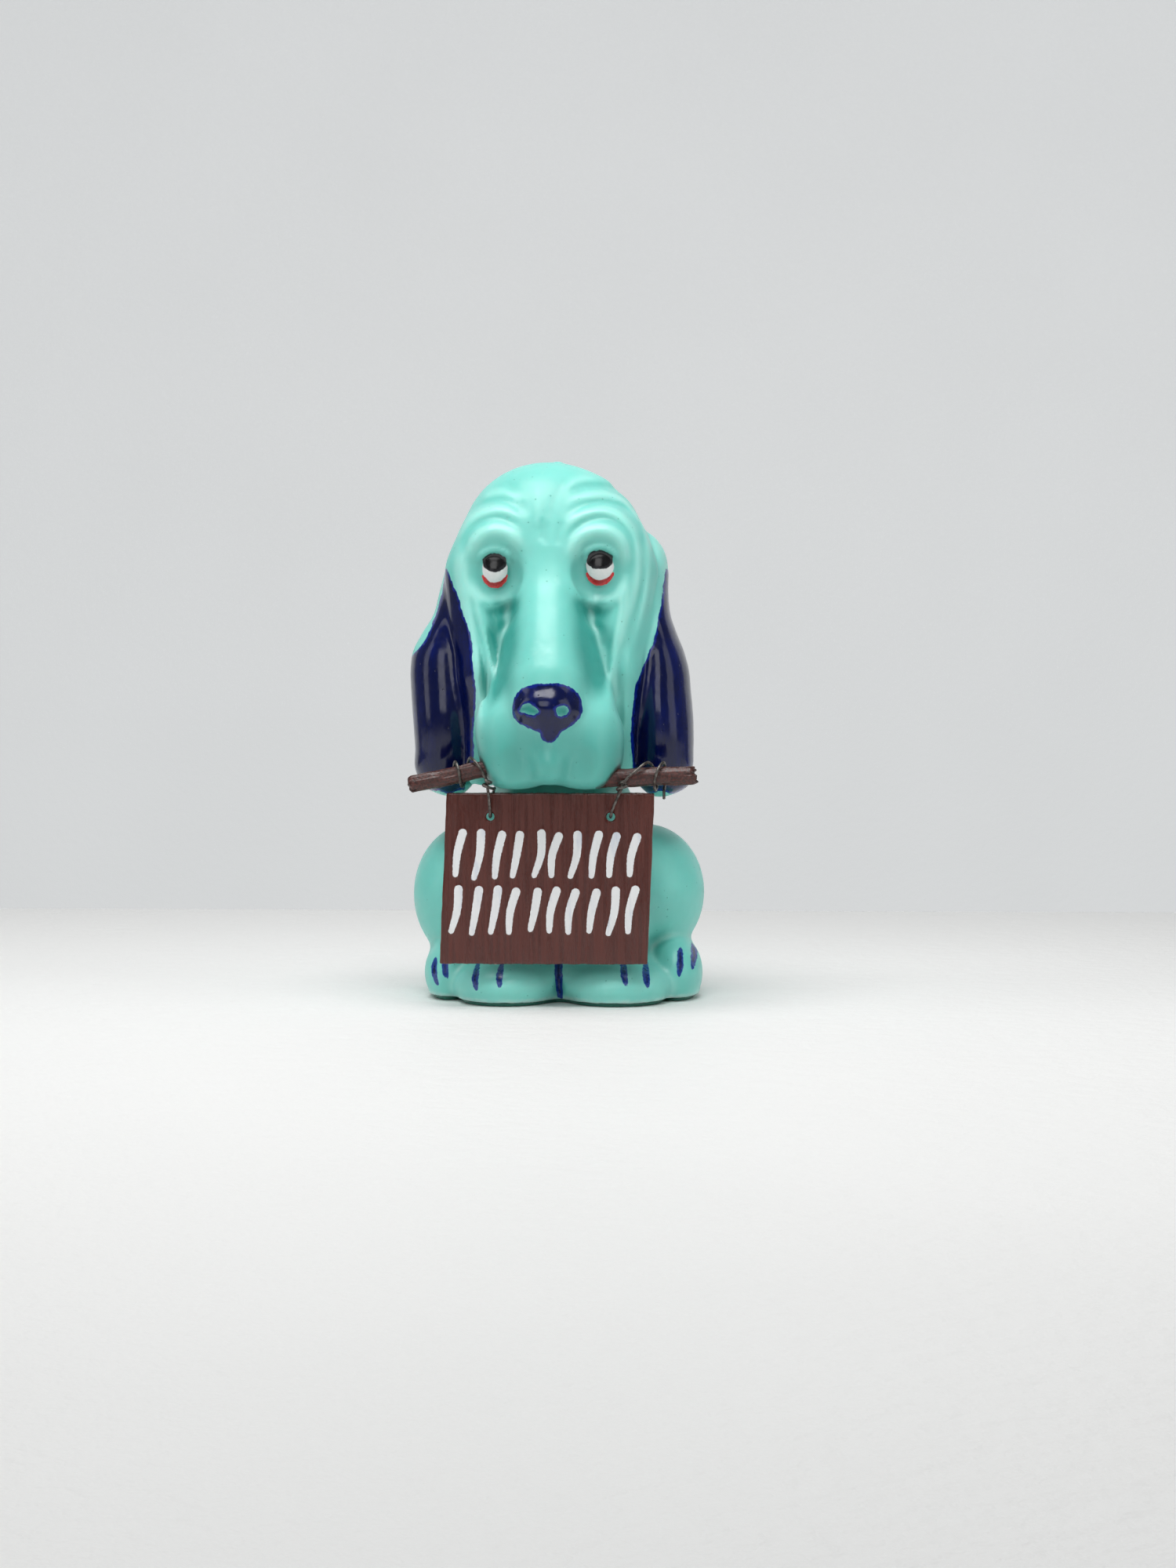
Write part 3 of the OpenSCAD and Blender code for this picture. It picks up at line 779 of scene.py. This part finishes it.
def body_shape(g):
    """The body without its rim and neck cuts."""
    f = ellipsoid(g, (1, 5, 34), (24, 22.5, 40))
    f = bulge(f, g, (1, 12, 18), (30, 22.5, 22), 8)
    f = bulge(f, g, (-24.4, 3, 28), (16.4, 20, 20), 4)
    f = bulge(f, g, (25.4, 3, 28.8), (16.4, 20, 19), 4)
    f = bulge(f, g, (1, 2, 6), (33, 29, 10), 5)
    for x in (-11.0, 13.5):
        f = limb(f, g, (x * 0.9, -9, 46), (x * 1.1, -13.8, 12), 11.5, 10.6, 5)
    f = bulge(f, g, (-29.4, -7.5, 7), (7.4, 15.5, 9.4), 4)
    f = bulge(f, g, (34, -7.5, 7), (7.4, 15.5, 10.2), 4)
    f = join(f, bulge(ellipsoid(g, *PAW_LEFT), g, *PAW_RIGHT, 1), 3.5)
    bend = (17, 29, 5.5)
    tail = join(cone(g, (4, 31, 6.5), bend, 3.4, 2.9), cone(g, bend, (25, 22.5, 5), 2.9, 2), 1)
    return join(f, tail, 2)


def body_field(g, shape):
    """The body with toe grooves, a ragged trimmed rim and a flat neck."""
    x, z = g.x[:, 0, :], g.z[0, :, :]
    grooves = relief(x, z, [(-0.35, 1.1, line) for line in TOE_LINES] + [(-0.9, 0.9, CENTRE_LINE)])
    f = shape - (grooves[:, None, :] * step_up(-g.y, 8, 14)).astype(np.float32)
    turn = np.arctan2(g.y, g.x) * 25.0
    ragged = (value_noise(turn, turn * 0, 0.5, SEED) * 0.12
              + value_noise(turn, turn * 0, 2.3, SEED + 1) * 0.18)
    lip = np.exp(-((g.z - RIM_LOW - 0.4) / 0.6) ** 2) * (0.3 + ragged)
    f = cut(f - lip.astype(np.float32), g.z - (RIM_LOW + ragged), 0.4)
    return cut(f, NECK_Z - g.z, 0.8)


def build_body():
    low, high = box_mm("body_shell")
    high[2] = NECK_Z
    g = Grid(low - 3, high + 3, GRID_BODY)
    shape = body_shape(g)
    f = body_field(g, shape)
    points, faces = surface(f, g)
    x, y, z = points.T
    lines = np.full(len(points), FAR)
    for line in TOE_LINES:
        d, t = stroke(x, z, line)
        lines = np.minimum(lines, d - TOE_LINE_HALF * (1 - (2 * t - 0.9) ** 2 * 0.55))
    d, t = stroke(x, z, CENTRE_LINE)
    lines = np.minimum(lines, d - (1.3 - 0.5 * t))
    lines = np.where(y < -8, lines, FAR)
    rim_noise = value_noise(x, y, 1.3, SEED + 2)
    wear = np.clip(1 - np.abs(z - RIM_LOW - 0.3) / 0.8 + rim_noise * 0.5, 0, 1) * 0.75
    material = vinyl("vinyl_body", (("navy", LINE_NAVY, LINE_NAVY_THIN, 0.22, 0.5),))
    obj = mesh_object("body", points, faces, material, "seated_body", ["body_shell"])
    # Painted shade in the body's hollows and painted light on its thin forms; the rim's pale wear
    # is real.
    store_vinyl(obj, navy=lines, hollow=0.6 * step_up(hollows(f, g, points, 5), 0.25, 0.95),
                ridge=ridges(f, g, points, 5.0), wear=wear)
    return shape, g


def build_base(shape, g):
    """The closing disc under the body, standing back from the trimmed rim."""
    level = int(round((BASE_TOP + 1.5 - g.low[2]) / g.step))
    heights = np.arange(BASE_LOW, BASE_TOP + 2.5, BASE_STEP, dtype=np.float32)[None, None, :]
    side = shape[:, :, level:level + 1] + BASE_BACK
    slab = np.abs(heights - BASE_TOP / 2 - 0.1) - BASE_TOP / 2 - 0.1
    points, faces = net(-join(-side, -slab, 0.5))
    points = (g.low[0], g.low[1], BASE_LOW) + points * (g.step, g.step, BASE_STEP)
    points, faces = largest_part(points, faces)
    points[:, 2] = np.maximum(points[:, 2], 0.0)
    # Painted shade: the disc's vinyl is coloured dark green, as the band in shadow under the rim.
    material = vinyl("vinyl_base", (), BASE_SHADE_LIGHT, BASE_SHADE_DEEP)
    obj = mesh_object("base", points, faces, material, "seated_body", ["base_plate"])
    store_vinyl(obj)


# ---- sticks ----

MOUTH_Y = -36.0
STICK_L = 28.0
STICK_LEFT = {"name": "left_stick", "inner": (-12.0, MOUTH_Y, 66.5), "rise": -12.0, "side": -1,
              "radius": 2.6}
STICK_RIGHT = {"name": "right_stick", "inner": (12.2, MOUTH_Y, 62.7), "rise": 2.0, "side": 1,
               "radius": 2.8}
BARK_DARK = (0.028, 0.006, 0.004)
BARK_LIGHT = (0.105, 0.024, 0.017)
BARK_WORN = (0.15, 0.06, 0.045)
CUT_WOOD = (0.035, 0.015, 0.012)


def stick_axes(stick):
    """Unit vectors across, up and along a stick."""
    rise = math.radians(stick["rise"])
    along = np.array((stick["side"] * math.cos(rise), 0.0, math.sin(rise)))
    across = np.array((0.0, 1.0, 0.0))
    return np.stack([across, np.cross(along, across), along])


def stick_frame(stick, points):
    """Points in a stick's own frame: across, up, along from its inner end."""
    return (points - np.array(stick["inner"])) @ stick_axes(stick).T


def stick_field(g, radius, splintered):
    """A dry twig: bark ridges along it, a knot, and a split or splintered outer end."""
    around = np.arctan2(g.y, g.x) * radius
    r = np.hypot(g.x, g.y)
    ridges = value_noise(around + 40, g.z * 0.10, 0.55, SEED + 3) * 0.17
    lumps = value_noise(around + 40, g.z, 3.1, SEED + 4) * 0.14
    f = r - (radius - 0.28 + ridges + lumps)
    knot = np.exp(-((around - 1.5) ** 2 + (g.z - 19.5) ** 2) / 1.2)
    f = f - 0.35 * knot
    end_noise = value_noise(g.x + 9, g.y + 9, 0.8, SEED + 5)
    if splintered:
        end = STICK_L - 1 + end_noise * 0.9 + 0.35 * (g.x - g.y) / radius
        split = np.abs(g.x + 0.4 * g.y + 0.3) - 0.28 * step_up(g.z, STICK_L - 5, STICK_L)
        f = cut(f, split, 0.25)
    else:
        end = STICK_L - 0.5 - 0.16 * r ** 2 + end_noise * 0.25
        for turn in (0.4, 2.3, 4.3):
            wedge = (np.abs(g.x * math.sin(turn) - g.y * math.cos(turn))
                     - 0.3 * step_up(g.z, STICK_L - 4, STICK_L))
            half = g.x * math.cos(turn) + g.y * math.sin(turn) > -0.2
            f = np.where(half, cut(f, wedge, 0.25), f)
    f = cut(f, end - g.z, 0.4)
    return cut(f, g.z - 0.05, 0.4)


def bark(name):
    """Dark dry bark, worn in patches, with a rough cut at the outer end."""
    n = Nodes(name)
    grain = n.noise(1500, 4, 0.6)
    colour = n.mix(n.ramp(grain, 0.35, 0.7), BARK_DARK, BARK_LIGHT)
    wood = n.ramp(n.math("SUBTRACT", n.attribute("end"), n.math("MULTIPLY", grain, 1.2)), -0.5, 0.4)
    colour = n.mix(wood, colour, CUT_WOOD)
    worn = n.ramp(n.noise(800, 3, 0.6), 0.66, 0.75, 0, 0.5)
    colour = n.mix(worn, colour, BARK_WORN)
    rough = n.ramp(grain, 0.3, 0.7, 0.28, 0.5)
    return n.finish(Base_Color=colour, Roughness=rough, Normal=n.bump(grain, 0.00025, 0.6),
                    Coat_Weight=0.12, Coat_Roughness=0.25)


def build_stick(stick, material):
    r = stick["radius"] + 1.0
    g = Grid((-r, -r, -1.0), (r, r, STICK_L + 1.5), GRID_STICK)
    f = stick_field(g, stick["radius"], stick["side"] > 0)
    points, faces = surface(f, g)
    end = points[:, 2] - STICK_L + 1.2
    world = points @ stick_axes(stick) + np.array(stick["inner"])
    name = stick["name"]
    obj = mesh_object(name + "_wood", world, faces, material, "head", [name])
    store(obj, "end", end)


# ---- wires ----

WIRE_R = 0.4
WIRE_SIDES = 12
WIRE_STEPS = 8
STEEL_DARK = (0.055, 0.047, 0.042)
STEEL_LIGHT = (0.20, 0.18, 0.165)
RUST = (0.075, 0.035, 0.022)


def stick_height(stick, x):
    """Height of a stick's axis at x."""
    inner = stick["inner"]
    return inner[2] + (abs(x) - abs(inner[0])) * math.tan(math.radians(stick["rise"]))


def turns(stick, wraps):
    """Points of a wire wound round a stick; 0 degrees is in front and 90 on top."""
    return [(x, MOUTH_Y - r * math.cos(math.radians(a)),
             stick_height(stick, x) + r * math.sin(math.radians(a))) for x, a, r in wraps]


# The wires' routes, the same as the CAD's: wraps as (x, degrees, radius), the rest as (x, y, z)
LEFT_WRAPS = [(-26.6, 215, 3.5), (-26.6, 180, 3.5), (-26.5, 135, 3.6), (-26, 90, 3.7),
              (-25.2, 45, 3.5), (-24.6, 0, 3.4), (-24.3, -45, 3.4), (-24, -90, 3.5),
              (-23.6, -135, 3.5), (-23.2, -180, 3.5), (-22.7, -225, 3.6), (-21.9, -270, 3.9),
              (-20.4, -315, 3.8), (-18.9, -350, 3.6)]
LEFT_LOOP = [(-17.8, -39.8, 63.6), (-17.2, -39.8, 62.5), (-17, -39.7, 61.4), (-16.9, -39.6, 60.2),
             (-16.6, -39.2, 57.5), (-16.4, -38.7, 54.5), (-16.4, -38.1, 52.9), (-16.4, -37.2, 52.3),
             (-16.4, -34.8, 52.3), (-16.4, -33.9, 52.9), (-16.3, -33.3, 54.5), (-16.1, -32.9, 57.1),
             (-15.7, -33, 59), (-15.4, -34.4, 59.9), (-15.3, -36.5, 59.9), (-15.5, -38.3, 60),
             (-15.9, -39.5, 60.2), (-16.6, -40.6, 60.5), (-17.9, -40.3, 60.9), (-17.9, -39.1, 61.2),
             (-16.7, -38.7, 61.5), (-16, -39.6, 61.8), (-16.6, -40.8, 62.1), (-17.5, -40.9, 62.4)]
RIGHT_TAIL = [(30.9, -37.1, 57.3), (30.9, -36.8, 58.4)]
RIGHT_WRAPS = [(30.9, 275, 3.7), (31.1, 225, 3.6), (31.2, 180, 3.6), (31.1, 135, 3.7),
               (30.7, 90, 3.8), (29.6, 45, 3.7), (28.6, 0, 3.6), (28.3, -45, 3.6),
               (28.6, -90, 3.7), (28.9, -135, 3.6),
               (28.6, -180, 3.6), (27.8, -225, 3.7), (26.6, -270, 3.9), (25.2, -300, 3.9),
               (23.4, -330, 3.8), (21.7, -350, 3.8)]
RIGHT_LOOP = [(20.6, -40, 62.5), (20, -40, 61.5), (19.5, -39.9, 60.4), (18.3, -39.5, 57.6),
              (17, -38.9, 54.6), (16.5, -38.1, 52.9), (16.4, -37.2, 52.3), (16.4, -34.8, 52.3),
              (16.5, -33.9, 52.9), (16.9, -33.2, 54.8), (17.6, -32.9, 57.1), (18.5, -33, 58.8),
              (18.9, -34.3, 59.5), (19, -36.3, 59.5), (18.7, -38.2, 59.6), (18.3, -39.2, 59.9),
              (18.5, -40.3, 60.2), (19.5, -40.9, 60.5), (20.7, -40.4, 60.8), (20.8, -39.2, 61.1),
              (19.6, -38.9, 61.4), (18.9, -39.8, 61.7), (19.5, -41, 62), (20.6, -41.2, 62.3)]


def tube(route, radius):
    """A round wire along a smooth route, with domed ends: (points, faces)."""
    line = spline_points(route, WIRE_STEPS)
    tangents = np.gradient(line, axis=0)
    tangents /= np.linalg.norm(tangents, axis=1)[:, None]
    side = np.cross(tangents[0], (0.3, 0.2, 1.0))
    angles = np.arange(WIRE_SIDES) * 2 * math.pi / WIRE_SIDES
    rings = []
    for i, (c, t) in enumerate(zip(line, tangents)):
        side = side - (side @ t) * t
        side /= np.linalg.norm(side)
        up = np.cross(t, side)
        ring = c + radius * (np.cos(angles)[:, None] * side + np.sin(angles)[:, None] * up)
        if i == 0:
            rings.append(c - t * radius * 0.35 + (ring - c) * 0.6)
        rings.append(ring)
        if i == len(line) - 1:
            rings.append(c + t * radius * 0.35 + (ring - c) * 0.6)
    points = np.vstack(rings)
    count = len(rings)
    faces = [(i * WIRE_SIDES + j, i * WIRE_SIDES + (j + 1) % WIRE_SIDES,
              (i + 1) * WIRE_SIDES + (j + 1) % WIRE_SIDES, (i + 1) * WIRE_SIDES + j)
             for i in range(count - 1) for j in range(WIRE_SIDES)]
    faces.append(tuple(reversed(range(WIRE_SIDES))))
    faces.append(tuple((count - 1) * WIRE_SIDES + j for j in range(WIRE_SIDES)))
    return points, faces


def wire_steel(name):
    """Dark annealed wire with a little rust."""
    n = Nodes(name)
    patches = n.noise(900, 4, 0.6)
    colour = n.mix(n.ramp(patches, 0.35, 0.7), STEEL_DARK, STEEL_LIGHT)
    colour = n.mix(n.ramp(n.noise(420, 3, 0.6), 0.6, 0.7, 0, 0.6), colour, RUST)
    rough = n.ramp(patches, 0.3, 0.7, 0.5, 0.32)
    drawn = n.bump(n.noise(5200, 2, 0.5), 0.00004, 0.4)
    return n.finish(Base_Color=colour, Roughness=rough, Metallic=0.8, Normal=drawn)


def build_wires():
    steel = wire_steel("hanger_wire")
    left = turns(STICK_LEFT, LEFT_WRAPS) + LEFT_LOOP
    right = RIGHT_TAIL + turns(STICK_RIGHT, RIGHT_WRAPS) + RIGHT_LOOP
    for name, body, route in (("left_hanger", "left_hook", left),
                              ("right_hanger", "right_hook", right)):
        points, faces = tube(route, WIRE_R)
        mesh_object(name + "_wire", points, faces, steel, body, [name])


# ---- sign ----

SIGN_LEAN = 1.9                             # its foot is this much further left than its top
SIGN_ROUND = 0.35
SIGN_HOLE_X = 16.4
SIGN_HOLE_DROP = 6.6
SIGN_HOLE_R = 1.2
SIGN_DARK = (0.072, 0.012, 0.007)
SIGN_BROWN = (0.112, 0.022, 0.014)
SIGN_HAZE = (0.12, 0.05, 0.042)
BARE_WOOD = (0.50, 0.40, 0.33)
MARK_WHITE = (0.88, 0.89, 0.90)
MARK_THIN = (0.70, 0.74, 0.82)
MARK_ROWS = ((47.4, 36.2), (32.0, 21.0))    # (top, foot)
MARK_COUNT = 10
MARK_FIRST_X = -25.2
MARK_PITCH = 5.3
MARK_HALF = 1.15


def brush_marks():
    """Two rows of plain slanted brush dabs, in place of any lettering."""
    rng = np.random.default_rng(SEED)
    marks = []
    for row, (top, foot) in enumerate(MARK_ROWS):
        for i in range(MARK_COUNT):
            x = MARK_FIRST_X + i * MARK_PITCH - row * 0.9 + rng.uniform(-0.4, 0.4)
            a, b = top + rng.uniform(-0.6, 0.6), foot + rng.uniform(-0.6, 0.6)
            bend = rng.uniform(-0.9, 0.9)
            marks.append([(x + 1.2, a), (x + 0.2 + bend, (a + b) / 2), (x - 0.8, b)])
    return marks


def sign_field(g, low, high):
    """A board with worn edges, brushed paint and two wire holes."""
    top, foot = high[2], low[2]
    half_w = (high[0] - low[0] - SIGN_LEAN) / 2
    middle = (high + low) / 2
    shifted = g.x + SIGN_LEAN * (top - g.z) / (top - foot)
    side_noise = value_noise(g.z + 50, g.x * 0 + np.sign(g.x) * 9, 2.3, SEED + 6) * 0.06
    end_noise = value_noise(g.x + 90, g.z * 0 + np.sign(g.z - middle[2]) * 9, 2.9, SEED + 7) * 0.06
    d = [np.abs(shifted) - half_w + 0.15 + side_noise + SIGN_ROUND,
         np.abs(g.y - middle[1]) - (high[1] - low[1]) / 2 + 0.12 + SIGN_ROUND,
         np.abs(g.z - middle[2]) - (top - foot) / 2 + 0.12 + end_noise + SIGN_ROUND]
    outside = np.sqrt(sum(np.maximum(v, 0) ** 2 for v in d))
    f = outside + np.minimum(np.maximum(np.maximum(d[0], d[1]), d[2]), 0) - SIGN_ROUND
    x, z = g.x[:, 0, :], g.z[0, :, :]
    brush = (value_noise(x + 60, z * 0.07, 0.55, SEED + 8) * 0.07
             + value_noise(x + 60, z * 0.12, 1.7, SEED + 9) * 0.08)
    paint = 0.10 * step_up(-mark_distance(x, z), -0.25, 0.25) + brush
    f = f - paint[:, None, :].astype(np.float32)
    rough = value_noise(np.arctan2(z, x) * 3, x * 0, 0.7, SEED + 10) * 0.06
    for side in (-1, 1):
        hole = np.hypot(x - side * SIGN_HOLE_X, z - top + SIGN_HOLE_DROP) - SIGN_HOLE_R + rough
        f = cut(f, (hole[:, None, :] + 0 * g.y).astype(np.float32), 0.3)
    return f


def mark_distance(x, z):
    """Distance in mm to the edge of the nearest brush dab, negative inside."""
    best = np.full(np.broadcast(x, z).shape, FAR)
    for mark in brush_marks():
        d, t = stroke(x, z, mark)
        best = np.minimum(best, d - MARK_HALF * (1 - 0.35 * t ** 2))
    return best


def painted_wood(name):
    """Brown gloss paint brushed along Z, chipped at the edges, with white dabs over it."""
    n = Nodes(name)
    strokes = n.noise(950, 3, 0.55, (1, 1, 0.045))
    colour = n.mix(n.ramp(strokes, 0.3, 0.72), SIGN_DARK, SIGN_BROWN)
    haze = n.ramp(n.noise(60, 4, 0.6), 0.5, 0.8, 0, 0.1)
    colour = n.mix(haze, colour, SIGN_HAZE)
    bite = n.math("MULTIPLY", n.noise(1100, 3, 0.6), 0.9)
    chips = n.ramp(n.math("SUBTRACT", n.attribute("edge"), bite), -0.38, -0.47)
    colour = n.mix(chips, colour, BARE_WOOD)
    ragged = n.math("MULTIPLY", n.math("SUBTRACT", n.noise(1400, 3, 0.6), 0.5), 0.35)
    mask = n.ramp(n.math("ADD", n.attribute("marks"), ragged), 0.06, -0.06)
    thin = n.ramp(n.noise(420, 3, 0.6, (1, 1, 0.2)), 0.52, 0.75)
    colour = n.mix(mask, colour, n.mix(thin, MARK_WHITE, MARK_THIN))
    rough = n.mix_value(mask, n.ramp(strokes, 0.3, 0.7, 0.2, 0.36), 0.38)
    specks = n.bump(n.noise(2600, 2, 0.6, (1, 1, 0.3)), 0.00012, 0.6)
    height = n.bump(strokes, 0.00022, 0.8, specks)
    return n.finish(Base_Color=colour, Roughness=rough, Normal=height,
                    Coat_Weight=0.15, Coat_Roughness=0.15)


def build_sign():
    low, high = box_mm("sign_board")
    g = Grid(low - 0.9, high + 0.9, GRID_SIGN)
    points, faces = surface(sign_field(g, low, high), g)
    x, y, z = points.T
    obj = mesh_object("sign", points, faces, painted_wood("sign_wood"), "sign",
                      ["sign_board"])
    front = np.where(y < (low[1] + high[1]) / 2, 0.0, FAR)
    store(obj, "marks", mark_distance(x, z) + front)
    middle, half_w = (low + high) / 2, (high[0] - low[0] - SIGN_LEAN) / 2
    shifted = x + SIGN_LEAN * (high[2] - z) / (high[2] - low[2])
    edge = np.minimum(half_w - np.abs(shifted), (high[2] - low[2]) / 2 - np.abs(z - middle[2]))
    store(obj, "edge", edge + 0.6 * (np.abs(y - middle[1]) < 0.7))


build_head()
build_base(*build_body())
twig = bark("stick_wood")
build_stick(STICK_LEFT, twig)
build_stick(STICK_RIGHT, twig)
build_wires()
build_sign()


# ---- stage ----

SHEET_CELLS = 24
FLOOR = ((-0.7, -0.9, 0), (0.7, -0.9, 0), (0.7, 0.26, 0), (-0.7, 0.26, 0))
FLOOR_COLOUR = (0.88, 0.88, 0.87)
BACKDROP = ((-1.8, 1.6, -1.2), (1.8, 1.6, -1.2), (1.8, 1.6, 1.8), (-1.8, 1.6, 1.8))
BACKDROP_COLOUR = (0.80, 0.815, 0.82)
BACKDROP_GLOW = 0.6
SKY = (0.92, 0.94, 0.95, 1.0)
SKY_STRENGTH = 0.15
LIGHTS = (      # name, place, aim, width and height, watts
    ("key", (-0.04, -0.12, 0.66), (0, 0, 0.09), (0.5, 0.36), 3.85),
    ("front", (-0.15, -0.9, 0.5), (0, 0, 0.05), (0.5, 0.5), 1.6),
    ("left", (-0.7, -0.15, 0.35), (0, 0, 0.08), (0.25, 0.6), 0.6),
    ("right", (0.75, -0.35, 0.35), (0, 0, 0.08), (0.5, 0.8), 1.3),
)
CAMERA_PLACE = (0.043, -0.923, 0.1068)
CAMERA_DIP = 2.94           # degrees down from level
CAMERA_TURN = 2.117         # degrees to the left of straight ahead
LENS = 75
SENSOR = 36


def add_light(name, place, aim, size, power):
    light = bpy.data.lights.new(name, "AREA")
    light.shape = "RECTANGLE"
    light.size, light.size_y = size
    light.energy = power
    obj = bpy.data.objects.new(name, light)
    obj.location = place
    obj.rotation_euler = (Vector(aim) - Vector(place)).to_track_quat("-Z", "Y").to_euler()
    bpy.context.scene.collection.objects.link(obj)


def add_sheet(name, corners, colour, glow):
    """A plain sheet of the stage through four corners, divided evenly."""
    n = SHEET_CELLS
    a, b, c, d = (np.array(p) for p in corners)
    grid = [tuple((a * (1 - u) + b * u) * (1 - v) + (d * (1 - u) + c * u) * v)
            for v in np.linspace(0, 1, n + 1) for u in np.linspace(0, 1, n + 1)]
    quads = [(i, i + 1, i + n + 2, i + n + 1)
             for row in range(n) for i in range(row * (n + 1), row * (n + 1) + n)]
    sheet = bpy.data.meshes.new(name)
    sheet.from_pydata(grid, [], quads)
    m = Nodes(name + "_paint")
    tone = m.mix(m.noise(8), [0.96 * part for part in colour], colour)
    m.finish(Base_Color=tone, Roughness=0.6, Emission_Color=tone, Emission_Strength=glow,
             Normal=m.bump(m.noise(160, 4.0, 0.6), 0.002, 0.5))
    sheet.materials.append(m.material)
    obj = bpy.data.objects.new(name, sheet)
    bpy.context.scene.collection.objects.link(obj)


def build_stage():
    add_sheet("floor", FLOOR, FLOOR_COLOUR, 0.0)
    add_sheet("backdrop", BACKDROP, BACKDROP_COLOUR, BACKDROP_GLOW)
    world = bpy.data.worlds.new("studio")
    bpy.context.scene.world = world
    world.use_nodes = True
    background = world.node_tree.nodes["Background"]
    background.inputs["Color"].default_value = SKY
    background.inputs["Strength"].default_value = SKY_STRENGTH
    bpy.context.scene.view_settings.view_transform = "Standard"
    for light in LIGHTS:
        add_light(*light)


def build_camera():
    """The photograph's viewing angle: slightly from the right and above, with a long lens."""
    data = bpy.data.cameras.new("camera")
    data.lens = LENS
    data.sensor_width = SENSOR
    camera = bpy.data.objects.new("camera", data)
    camera.location = CAMERA_PLACE
    camera.rotation_euler = Euler((math.radians(90 - CAMERA_DIP), 0, math.radians(CAMERA_TURN)))
    bpy.context.scene.collection.objects.link(camera)
    bpy.context.scene.camera = camera


build_stage()
build_camera()
